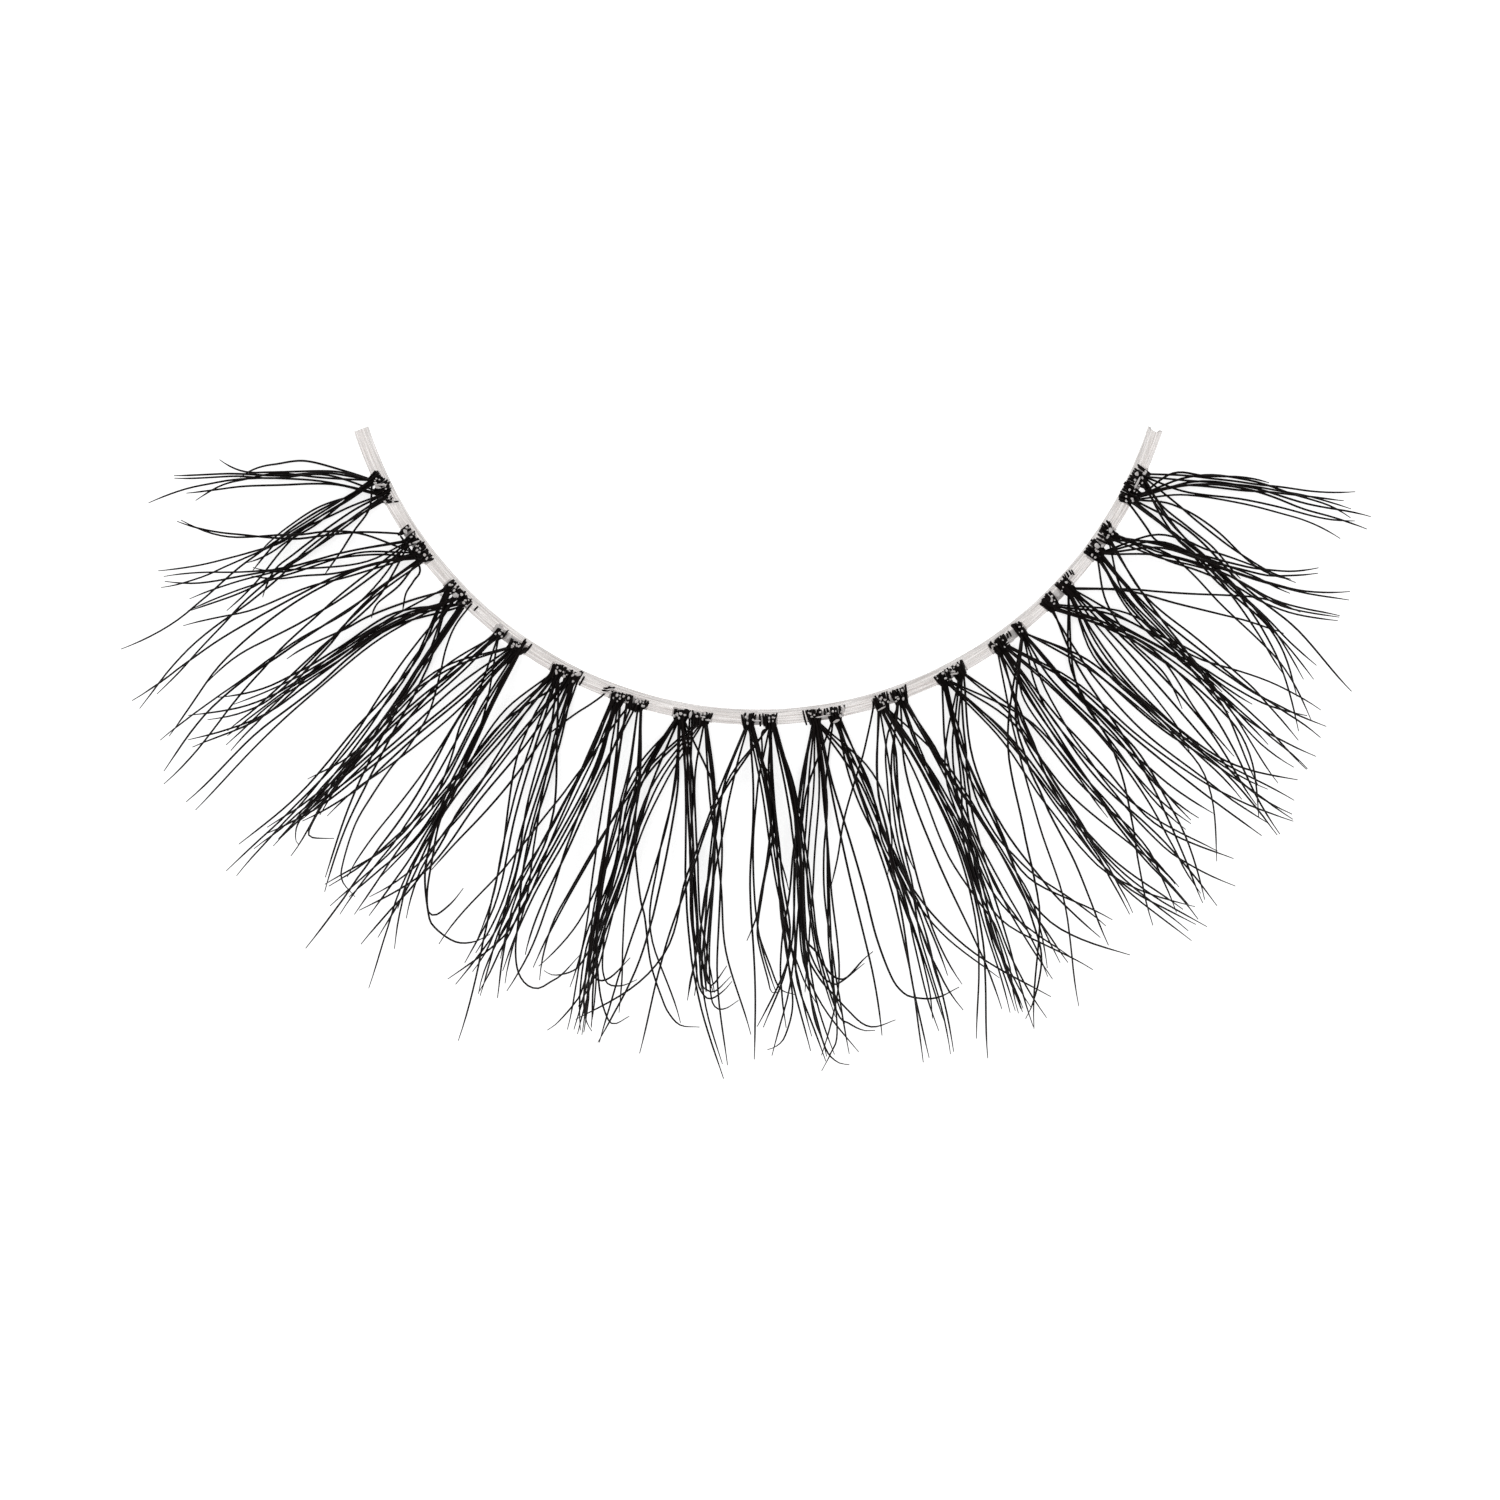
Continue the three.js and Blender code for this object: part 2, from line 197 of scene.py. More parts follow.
# The lashes of each cluster, by its number from the photo's left. A row is one bundle of fibres: its
# angles beside the cluster's centre line at the root, at a quarter, half and three quarters of its
# reach and at the tip, its reach as a share of FIBRE_REACH, and its number of fibres.
LASHES = {
    1: ((-1.5, -4, -6.5, -8, -8.8, 0.37, 1), (-1, -4.6, -6.7, -8.2, -9.3, 0.56, 2),
        (-0.8, -3.9, -5.9, -7, -8.2, 0.43, 1), (0.4, -3.9, -6.7, -7.2, -7.9, 0.65, 1),
        (-0.3, -3.4, -6.2, -7.2, -7.25, 0.52, 1), (0.8, -2.8, -5.1, -6.5, -7.4, 0.54, 1),
        (-0.9, 0, 0.85, 2.2, 4.1, 0.89, 1), (-0.7, -0.5, 0, 0.4, 0.9, 0.45, 2),
        (-0.8, -0.75, -0.95, -0.3, 0.5, 0.41, 1), (0.8, 0.4, 0.85, 2.6, 4.2, 0.57, 1),
        (0.8, 1.1, 2.05, 2.7, 3.4, 0.47, 1), (1.1, 2.6, 4.1, 5.2, 6.6, 0.94, 1),
        (2, 2.6, 3.9, 5.3, 7.4, 0.87, 1), (1.9, 2, 3.4, 5.1, 6.4, 0.28, 1),
        (-0.7, -0.1, 0.5, -0.5, -1.1, 0.7, 1), (-0.5, 0.1, 0.5, 0.55, 0.7, 0.71, 1),
        (1.5, 2.1, 3.1, 3.3, 2.2, 0.67, 1)),
    2: ((-2, -5.6, -8.1, -10.9, -13.6, 0.6, 2), (0, -1.8, -5, -8.2, -11.1, 0.68, 1),
        (-1.4, -3.7, -5.6, -7.6, -9, 0.7, 1), (-1.2, -3.3, -5.1, -6.8, -8.3, 0.65, 1),
        (-0.9, -2.9, -4.9, -5.8, -6.9, 0.67, 1), (1.3, -0.8, -3, -4, -6, 0.7, 1),
        (1.2, -1.9, -2.7, -2.95, -2.45, 0.94, 1), (1.4, -1.7, -2.2, -1, 1.4, 0.91, 1),
        (0.6, -1.7, -3.8, -5.3, -5.6, 0.45, 1), (1.2, -0.4, -2.2, -4.2, -6, 0.47, 1),
        (-0.3, 0.5, 0.05, -0.85, -1.9, 0.73, 1), (-0.8, -0.4, 1, 2.5, 5.4, 1, 1),
        (1.4, 1.85, 1.15, 1, 0.8, 0.94, 1), (1.5, 1.9, 1.1, 1.1, 2.9, 0.99, 1),
        (1.7, 2.3, 3.25, 4, 4.75, 0.8, 2), (2, 2.5, 3.1, 3.75, 4.2, 0.77, 1),
        (2, 2.5, 3.3, 3.45, 2.9, 0.24, 1), (2.7, 3, 3.8, 4.7, 5.6, 0.16, 1)),
    3: ((-1.6, -3.6, -5.5, -6.5, -7.8, 0.5, 1), (-1.3, -4, -4.7, -5.9, -7.4, 0.74, 1),
        (-1, -3.6, -4.3, -5.5, -6.4, 0.71, 1), (-0.2, -3.3, -4.2, -5.2, -6.7, 0.88, 2),
        (0, -3.1, -4.4, -5.4, -7.9, 0.84, 1), (0.1, -3, -4, -5.1, -4.9, 0.78, 1),
        (0.2, -3, -4.1, -5, -4.3, 0.8, 1), (0.4, -2.8, -3.3, -3.1, -2.3, 0.99, 2),
        (-0.9, 1.2, 2.9, 2.95, 3, 1.04, 1), (-0.2, 1.8, 3.05, 3.6, 3, 0.95, 1),
        (0.2, 2, 2.45, 2.8, 2.1, 0.97, 1), (-0.5, 2.3, 3, 3, 3, 1.05, 1),
        (0.9, 2.5, 4, 4.3, 4, 0.8, 1), (1.2, 2.8, 4.2, 4.5, 6.2, 0.885, 1),
        (1.5, 3.2, 5.4, 7.1, 8.95, 0.92, 1), (1.5, 2.8, 4.8, 6.25, 9, 0.88, 1)),
    4: ((-1.6, -3.6, -4.8, -4.9, -5.4, 0.7, 2), (-1.3, -3.2, -4.3, -4.9, -6, 0.88, 2),
        (-1, -2.2, -3.5, -4.2, -5, 0.8, 1), (-1.5, -4.3, -5, -5.2, -5, 0.8, 1),
        (-0.8, -2.9, -4.2, -4.6, -4.6, 0.75, 1), (0.9, -0.2, -1.6, -3, -4.6, 0.8, 1),
        (0.2, -1.3, -3, -4.3, -6, 0.9, 2), (1.2, 0.8, -0.6, -2.2, -4.1, 0.73, 1),
        (0.2, 0.6, 0.95, 0.85, 0.3, 0.84, 1), (0.3, 0.9, 1.85, 1.75, 1.75, 1.08, 1),
        (1.2, 1.5, 2.5, 2.45, 1.3, 0.94, 1), (0.8, 0.9, 1.3, 2.8, 4.4, 0.55, 1),
        (1.5, 2, 3, 2.8, 0.1, 0.9, 1), (1.9, 2.5, 3.6, 3.4, 3.4, 0.92, 1),
        (2.1, 3.3, 4.3, 4.9, 6, 0.94, 1), (2.1, 3.3, 4.4, 5, 6.4, 0.95, 1),
        (2.2, 3.5, 4.6, 5.3, 7, 1.08, 1)),
    5: ((-1.6, -3.9, -5, -6.4, -9, 0.9, 1), (-1.5, -3.7, -4.8, -5.7, -7.3, 0.88, 1),
        (-1.5, -3.6, -4.8, -6.5, -7.8, 0.94, 1), (-1.2, -2.7, -4, -4.3, -3.8, 0.84, 1),
        (-1.4, -4.3, -4.8, -5.2, -6.2, 0.8, 1), (-0.9, -3.2, -4.5, -5, -5.4, 0.9, 1),
        (1, -1.1, -2.2, -3.6, -4.6, 0.86, 1), (-0.8, -2.3, -2.75, -3.4, -3.6, 0.85, 1),
        (0, -1.7, -2.7, -3.2, -5.3, 0.98, 1), (0.4, -0.3, -1.75, -2.9, -5.5, 0.91, 1),
        (1.4, 1.3, 0.2, -1.1, -2.8, 0.69, 1), (-1, -0.35, 2.5, 4.5, 5.6, 1.1, 1),
        (-0.9, -0.1, 1, 2.9, 4.4, 0.8, 1), (-0.2, 0.8, 2.2, 3.8, 3.8, 0.89, 1),
        (0.8, 1.3, 2.7, 4.4, 5, 0.8, 1), (-0.4, 1.9, 3.2, 4.2, 4.7, 0.85, 1),
        (1.2, 3.1, 4.3, 5.2, 5.6, 0.84, 1), (1.6, 2.7, 3.8, 4.8, 4, 0.96, 1),
        (1.9, 2.6, 4.7, 6, 6, 0.9, 1), (1.9, 2.8, 5.6, 6.1, 6, 0.8, 1)),
    6: ((-1.6, -2.4, -3, -3.6, -5.1, 0.96, 2), (-1.7, -2.2, -4.6, -6.5, -8.7, 0.86, 1),
        (-1.5, -2.3, -3.5, -4.1, -4, 0.9, 1), (-0.6, -1.25, -2.2, -3.2, -3.5, 0.95, 3),
        (0.4, 0, -1.6, -2.5, -2.9, 0.87, 1), (-0.3, -0.9, -1.2, -1.05, -1.25, 0.92, 1),
        (0.7, 0.2, -0.5, -1.2, -2.3, 0.8, 1), (-0.2, 0.4, 1.6, 2.9, 3.4, 0.85, 1),
        (-0.4, 1.2, 2.4, 3.5, 4.1, 0.9, 1), (0, 1.6, 2.8, 3.8, 5, 0.97, 1),
        (1.6, 3.1, 3.1, 4, 5.9, 0.94, 1), (1.9, 4.2, 4.3, 4, 5, 0.95, 1)),
    7: ((-1.2, -4.9, -7, -8.8, -10.6, 0.83, 1), (-1, -4.6, -7.1, -8.6, -9.8, 0.85, 1),
        (-0.8, -4.6, -5.8, -6.9, -8.4, 0.83, 1), (-1.6, -4.9, -4.95, -5.5, -4.7, 0.97, 3),
        (-1.4, -3.4, -4.1, -4.8, -3.8, 0.98, 2), (0.2, -2.7, -3.9, -4.3, -4.5, 0.9, 1),
        (0.6, -1.8, -3.4, -3.1, -1.9, 0.89, 1), (-0.2, -0.35, -0.9, -1.8, -3.3, 0.99, 2),
        (-0.1, -0.3, -0.9, -0.4, 2.9, 0.885, 1), (-0.6, 0.75, 2.5, 4.1, 6.8, 1.05, 1),
        (-0.2, 0.6, 2, 3.2, 4.6, 0.8, 1), (0, 1.1, 2.35, 3.5, 4.8, 0.8, 2),
        (1.2, 1.65, 2.6, 3.9, 5.1, 0.8, 1), (1.9, 4.1, 4.6, 4.9, 6.5, 1.01, 2),
        (1.6, 3.7, 5.35, 6.2, 9.1, 0.915, 1)),
    8: ((-1.2, -4.9, -6.9, -8.6, -13.4, 0.96, 1), (-1, -4.6, -6.9, -8.25, -9.35, 1, 1),
        (-1.3, -4.2, -4.6, -5, -5.7, 0.83, 1), (-1, -3.4, -4.5, -4.55, -4.2, 0.8, 2),
        (-0.3, -0.55, -0.8, -0.1, 0.3, 0.99, 1), (1.6, 1.5, 1.45, 0.55, -0.1, 0.65, 1),
        (-1.1, 0.3, 1.35, 2, 3.3, 0.5, 1), (-0.9, 1, 2, 2.9, 3.9, 0.93, 1),
        (-0.7, 0.7, 1.9, 2.8, 4.6, 0.85, 1), (1.2, -0.1, -0.6, -0.2, 0.9, 0.8, 1),
        (1.4, 1.7, 2.1, 2.6, 3.8, 0.97, 1), (1.2, 1.7, 2.05, 2.4, 0.4, 0.9, 1),
        (1.9, 3.9, 4.3, 4.1, 5.6, 1, 2), (2.1, 4.2, 4.8, 5.2, 6.5, 0.9, 1),
        (0.3, 0.45, 0.6, 0.8, 1, 0.17, 1)),
    9: ((-1.7, -4.2, -5.7, -6.6, -8.7, 0.9, 2), (-1.6, -4.4, -5.3, -5.8, -8.4, 0.98, 1),
        (-1.5, -3.7, -4.6, -4.9, -3.5, 0.99, 2), (-0.6, -2.6, -4, -3.9, -2.6, 0.88, 1),
        (-0.3, -1.7, -3.3, -4.5, -5.2, 0.8, 1), (-1.2, -1.45, -2.2, -2.75, -3.1, 0.99, 2),
        (-0.9, -0.8, -0.25, 0.15, 1, 0.95, 1), (0.9, -1, -2, -2.6, -3.3, 0.85, 1),
        (1.2, 2.6, 4.1, 5, 5.4, 0.93, 1), (1.3, 3.2, 5, 5.5, 5.8, 1.04, 1),
        (0.4, 2, 3.9, 4.9, 5.2, 0.95, 1), (1.9, 3.9, 4.8, 7.9, 13.2, 0.985, 1),
        (1.7, 3.7, 4.4, 6.4, 10.4, 0.88, 1), (1.8, 3.4, 4.3, 5.9, 7.4, 0.82, 1),
        (2.3, 4.7, 5.2, 5.7, 5.9, 0.85, 1), (1.4, 2.7, 3.7, 3.6, 3.4, 1.05, 1),
        (1.5, 3.4, 4.7, 4.4, 3.75, 0.97, 1)),
    10: ((-1.6, -4.6, -4.8, -5.4, -5.7, 1.04, 1), (-1.7, -4.4, -4.6, -3.95, -3.6, 0.93, 1),
         (-1.2, -2.3, -3.3, -4, -4.5, 0.5, 1), (-0.6, -2.7, -3.1, -3.25, -3.2, 0.86, 2),
         (-0.7, -3, -3.4, -3.5, -3.3, 1.04, 1), (0, -0.9, -2.1, -3, -3.2, 0.5, 1),
         (0.2, -0.9, -0.45, 0.3, 1.2, 0.96, 1), (-0.8, 0.35, 0.7, 2.4, 2, 0.99, 1),
         (-0.7, 1.5, 2.6, 2.3, 1.95, 0.98, 2), (-0.5, 2.1, 3.3, 2.9, 2.65, 1.04, 1),
         (-1, 0.8, 1.9, 0.4, -1.6, 1.02, 1), (-0.6, 1.3, 2.2, 0.6, -1.6, 1.08, 1),
         (1.4, 3.2, 5, 6, 6.25, 0.91, 1), (1.8, 3.6, 5.2, 6.2, 6.1, 0.9, 1),
         (1, 3, 3.8, 4.3, 5, 0.935, 1), (0.6, 1.8, 3, 3.5, 7.4, 0.9, 1),
         (1.3, 3.4, 4, 4.8, 5.4, 0.92, 1), (0.5, 1.7, 2.7, 3, 8.6, 0.95, 1)),
    11: ((-1.6, -5.2, -6, -6.75, -7.15, 0.99, 2), (-1, -3.6, -5.9, -6.7, -7.6, 0.98, 2),
         (-1.4, -4.6, -6.1, -6.4, -6.5, 1.03, 1), (0.8, -2.4, -4.9, -5.3, -4.1, 0.8, 1),
         (0.9, -2.1, -3, -2.6, 1.3, 0.99, 1), (-0.5, -3, -3.7, -1.85, 2.5, 0.85, 1),
         (-0.2, -2.9, -2.7, -1, 0.6, 0.89, 1), (-0.3, -3, -3.1, -2.3, 3.2, 0.85, 1),
         (0, -3, -3, -2.9, -2.9, 0.9, 1), (-0.9, 1.6, 2.55, 3.95, 7.4, 0.97, 1),
         (-0.4, 2.3, 3.6, 5, 7.8, 1.03, 2), (-0.2, 2.4, 3.7, 5.1, 7.4, 0.94, 1),
         (1.6, 3.9, 4.2, 4.1, 4.15, 0.87, 1), (2, 5.5, 6.5, 7.05, 7.4, 0.94, 2),
         (1.2, 3.6, 4.7, 6.6, 8.9, 0.87, 1)),
    12: ((-2.5, -7, -9.9, -12.1, -16, 1.03, 1), (-2.2, -5.9, -7.95, -9.5, -12, 1.03, 1),
         (-2, -5.1, -6.4, -7.25, -8.5, 0.915, 1), (-1.9, -4.5, -5.1, -4.4, -2, 1, 2),
         (-2, -4.5, -4.9, -5, -4.9, 0.87, 1), (-1.5, -2.15, -2.1, -1.6, -0.7, 0.87, 2),
         (-1.2, -2.3, -2.85, -2.6, -2.2, 0.6, 1), (-0.6, -1.15, -0.8, -0.2, 1.1, 0.99, 2),
         (-0.5, -1, 0.05, 1.3, 3.5, 0.92, 1), (-0.6, -1.1, -0.9, 0.3, 3.5, 0.87, 1),
         (-1.3, -2.2, -2, -1.7, -0.2, 0.985, 1), (-0.9, 0.8, 1.9, 1.25, -0.4, 0.93, 1),
         (-0.8, 0.9, 1.95, 1.95, 1.9, 0.76, 1), (0.9, 2.2, 3.25, 2.2, 0.1, 0.96, 2),
         (1.3, 3.3, 4.6, 6.4, 8.8, 0.96, 1), (1.1, 2.9, 4.1, 5.3, 7.3, 0.92, 1),
         (0.7, 1.3, 2.2, 3.5, 4.9, 0.78, 1), (0.9, 2.2, 3.2, 2.9, 3, 0.76, 1),
         (1.8, 5, 5.8, 6.6, 7.6, 0.6, 1), (1.8, 5.5, 6.9, 8.4, 9, 0.95, 1),
         (2, 6, 7.1, 7.6, 8.6, 0.8, 1)),
    13: ((-1.9, -5.6, -7.4, -10.5, -14.2, 0.92, 1), (-1.9, -5.1, -6.9, -7.2, -7.2, 0.76, 1),
         (-1.7, -4.4, -5.2, -6, -6.3, 0.75, 1), (-0.9, -3.7, -3.9, -2.6, -1.8, 0.91, 1),
         (-0.4, -2.1, -1.9, -2.4, -6, 0.9, 1), (0.7, -2, -1.8, -0.75, -1, 0.95, 1),
         (0.5, -1.9, -1.9, -1, -0.2, 0.84, 1), (1, -0.95, -1.55, -0.4, 2.5, 0.89, 1),
         (1, -0.95, -1.5, -0.4, 1.8, 0.91, 1), (1.2, 0.6, -0.05, -0.5, -1.5, 0.6, 1),
         (1, 1.1, 0.2, -0.5, -1, 0.93, 1), (1.2, 2, 1.5, 0.6, -1.6, 0.84, 1),
         (0.6, 1.6, 2.7, 1.2, 0.1, 0.7, 1), (-0.4, 2.2, 2.75, 0.9, -2.3, 0.94, 1),
         (0.7, 2.1, 2.95, 2.6, -0.6, 0.89, 1), (-0.3, 2.4, 3.95, 4.15, 3.85, 0.88, 2),
         (0.8, 2.5, 4.4, 5.05, 6.6, 0.79, 1), (1.6, 3.5, 5.5, 6.15, 7.1, 0.85, 1),
         (1.9, 4.3, 5, 7.2, 9.2, 0.8, 1), (1.2, 2.9, 4.5, 4.75, 4.9, 0.64, 1),
         (2.6, 6.3, 10, 13, 15.7, 0.59, 1), (2.4, 6.1, 8.8, 10.8, 13, 0.59, 1)),
    14: ((-1.8, -5.4, -7.1, -7.3, -7.8, 0.5, 1), (-1.4, -4.1, -5.1, -5.3, -5.6, 0.75, 1),
         (-1.5, -4.7, -5, -5, -5.25, 0.88, 1), (-1, -3, -4.3, -5.7, -8.2, 0.84, 2),
         (0.6, -2, -4.2, -6.2, -9, 0.8, 1), (0.2, -2.1, -2.35, -2.7, -3.25, 0.81, 1),
         (-1.2, -3.6, -4.6, -5.2, -6, 0.6, 1), (0.5, -3.3, -3.9, -4.6, -5.4, 0.55, 1),
         (-0.2, -3, -3.15, -2.9, -2, 0.85, 1), (0.2, 2.9, 4.6, 5, 5.9, 0.71, 3),
         (0.8, 3.8, 5.4, 6.85, 7.8, 0.71, 2), (1.4, 4.1, 5.6, 6.8, 8, 0.6, 2),
         (2.4, 5.2, 6.2, 7, 7.7, 0.55, 1), (1, 3.9, 5.2, 5.9, 6.5, 0.55, 1),
         (0.9, 3.1, 1.65, 0.7, -1.2, 0.81, 1)),
    15: ((-1.6, -3.2, -5, -7.9, -12, 0.8, 1), (-1.4, -3, -4.6, -6.7, -9, 0.74, 2),
         (-1.2, -2.7, -4.4, -6.3, -8.2, 0.72, 2), (-1.5, -3, -4.5, -6.6, -9.2, 0.66, 1),
         (-0.4, -2.1, -4.2, -5.3, -7.6, 0.845, 1), (0, -0.7, -1.5, -2.8, -4, 0.4, 1),
         (1, 0.4, -0.65, -1.6, -2.3, 0.53, 1), (-0.3, -0.15, -0.6, -1.55, -2.2, 0.52, 1),
         (1.7, 3.7, 4.8, 5.9, 6.7, 0.36, 1), (1.4, 4.2, 5.75, 7.1, 8.1, 0.61, 1),
         (1.6, 4.3, 5.7, 6.4, 6.7, 0.61, 2), (0.6, 3.4, 5.15, 5.95, 6.4, 0.67, 2),
         (0.7, 3.1, 4.8, 6.1, 7.1, 0.585, 1), (0.2, 2.2, 3.85, 4.9, 5.7, 0.635, 1),
         (0, 1.7, 3.3, 4.3, 4.9, 0.61, 1)),
}

# Single fibres that hook or wander further than a bundle does: a cluster's number, and the angles
# beside its centre line and shares of LASH_REACH, from root to tip.
STRAYS = (
    (3, ((2.2, 0), (2.6, 0.08), (3.7, 0.15), (5.2, 0.22), (7, 0.33), (7.5, 0.45), (7.4, 0.52),
         (7.6, 0.62), (8, 0.72), (9.1, 0.83), (9.9, 0.875), (11.5, 0.893))),
    (3, ((1.6, 0), (3, 0.2), (4, 0.38), (4.3, 0.55), (4.6, 0.7), (5.2, 0.81), (5.7, 0.83),
         (6.6, 0.81), (7.3, 0.79))),
    (3, ((1, 0), (2.4, 0.2), (3.6, 0.4), (4, 0.6), (4.1, 0.8), (4.8, 0.86), (5.4, 0.87))),
    (4, ((2, 0), (3.3, 0.235), (4.3, 0.45), (5.1, 0.58), (6.1, 0.67), (7.1, 0.76), (7.9, 0.81),
         (8.4, 0.822), (8.9, 0.81), (9.5, 0.76), (9.8, 0.71))),
    (4, ((1.8, 0), (3.1, 0.235), (4.3, 0.45), (5, 0.6), (6.2, 0.72), (8.1, 0.82), (9.1, 0.85),
         (11.1, 0.862), (12.5, 0.84), (13.5, 0.8))),
    (5, ((6.3, -0.01), (5.9, 0.02), (4.8, 0.06), (3.6, 0.1), (2.4, 0.15), (1.6, 0.19))),
    (5, ((1.9, 0), (2.8, 0.2), (4, 0.45), (5, 0.6), (6.1, 0.72), (6.8, 0.81), (7.6, 0.87),
         (8.6, 0.9), (9.6, 0.9), (10.4, 0.87), (11.1, 0.84), (12.1, 0.77))),
    (6, ((0, 0), (1.6, 0.24), (2.8, 0.475), (3.5, 0.68), (3.9, 0.78), (4.4, 0.815), (5.1, 0.83),
         (6, 0.81), (7.2, 0.745))),
    (6, ((1.9, 0), (4, 0.24), (4.2, 0.45), (4.3, 0.62), (4.9, 0.76), (5.3, 0.81), (5.9, 0.835),
         (7, 0.83), (8.1, 0.805))),
    (6, ((1.6, 0), (3.1, 0.25), (3.2, 0.5), (4, 0.7), (5.2, 0.85), (6.3, 0.93), (7, 0.945),
         (8, 0.915))),
    (6, ((0.1, 0), (1.5, 0.24), (2.7, 0.475), (3.6, 0.7), (4, 0.85), (4.4, 0.92), (4.9, 0.96),
         (5.4, 0.98))),
    (6, ((2, 0), (3.6, 0.15), (4.4, 0.25), (5, 0.36), (5.8, 0.45), (7.1, 0.57), (7.8, 0.62),
         (9, 0.75), (10.4, 0.85), (11.1, 0.89), (12.1, 0.92), (13.6, 0.92))),
    (7, ((-1.4, 0), (-3.4, 0.245), (-4.1, 0.49), (-5, 0.68), (-5.8, 0.79), (-6.3, 0.82),
         (-7.1, 0.84), (-7.9, 0.85), (-8.6, 0.845))),
    (7, ((-1.5, 0), (-4.5, 0.25), (-4.9, 0.49), (-5.2, 0.7), (-5.2, 0.86), (-5.5, 0.91),
         (-6.4, 0.98), (-7, 1.01))),
    (7, ((-0.3, 0), (0.7, 0.2), (2.2, 0.42), (3.3, 0.65), (4, 0.78), (4.5, 0.82), (5.2, 0.835),
         (6.2, 0.81), (6.9, 0.78))),
    (7, ((0.1, 0), (1.1, 0.2), (2.4, 0.4), (3.6, 0.62), (4.3, 0.78), (4.9, 0.81), (5.6, 0.81),
         (6.8, 0.765))),
    (7, ((1.7, 0), (4, 0.25), (4.6, 0.45), (4.6, 0.65), (4.7, 0.76), (5.1, 0.795), (5.6, 0.78),
         (6.4, 0.735))),
    (7, ((1.9, 0), (4.1, 0.25), (4.7, 0.45), (4.8, 0.68), (5.2, 0.82), (5.7, 0.86), (6.5, 0.86),
         (7.5, 0.835))),
    (7, ((0, 0), (1.1, 0.2), (2.5, 0.42), (3.5, 0.62), (3.65, 0.72), (3.4, 0.79), (3.35, 0.84))),
    (8, ((2, 0), (3.9, 0.2), (4.3, 0.4), (4.1, 0.57), (4.3, 0.66), (5.1, 0.7), (5.8, 0.75),
         (6.5, 0.78), (7.4, 0.785), (9, 0.74), (10, 0.72))),
    (8, ((2.1, 0), (4, 0.22), (4.4, 0.42), (4.2, 0.58), (4.4, 0.68), (5.2, 0.76), (6.1, 0.795),
         (6.9, 0.795), (9.1, 0.75))),
    (8, ((1.8, 0), (3.7, 0.22), (4.3, 0.42), (4, 0.58), (4.2, 0.7), (5.2, 0.78), (6.2, 0.83),
         (7.2, 0.88), (8.2, 0.925), (9.2, 0.94), (10.8, 0.93))),
    (8, ((2, 0), (4.1, 0.22), (4.8, 0.45), (5.2, 0.68), (6.3, 0.88), (7.2, 0.92), (8.2, 0.945),
         (9.1, 0.95))),
    (8, ((1.4, 0), (1.7, 0.24), (2.1, 0.485), (2.6, 0.72), (2.8, 0.85), (2.1, 0.94), (1.4, 0.97),
         (0.7, 0.98))),
    (8, ((1.9, 0), (3.8, 0.23), (4.3, 0.45), (4.1, 0.65), (4.4, 0.87), (4.9, 0.95), (5.3, 1),
         (6, 1.03), (6.8, 1.04))),
    (8, ((-1, 0), (0.4, 0.12), (1.4, 0.28), (0.9, 0.42), (0.1, 0.55), (0, 0.63), (1, 0.73),
         (1.8, 0.8), (3, 0.82))),
    (8, ((1.7, 0), (1.5, 0.2), (1.4, 0.32), (0.5, 0.5), (0, 0.6), (0, 0.66), (0.8, 0.77),
         (1.1, 0.81), (1.8, 0.81))),
    (9, ((-1.2, 0), (-1.45, 0.25), (-2.2, 0.5), (-2.75, 0.74), (-2.95, 0.94), (-3.6, 1),
         (-4.4, 1.05))),
    (9, ((-0.9, 0), (-0.5, 0.18), (0.1, 0.3), (0.6, 0.4), (1.1, 0.54), (1.4, 0.68), (2, 0.8),
         (2.6, 0.85), (3.4, 0.875), (5.2, 0.893), (7.2, 0.88))),
    (10, ((-2.2, 0), (-2.7, 0.03), (-5.1, 0.14), (-6.5, 0.2), (-8.8, 0.32), (-10.1, 0.43),
          (-11.1, 0.51))),
    (10, ((1.4, 0), (3.2, 0.23), (5, 0.455), (5.8, 0.66), (5.6, 0.78), (5.2, 0.87), (4.2, 0.94),
          (3, 1), (2.2, 1.03))),
    (15, ((-2.2, -0.01), (-2.6, 0.02), (-3.4, 0.06), (-4.2, 0.1), (-4.8, 0.13), (-5, 0.18))),
)

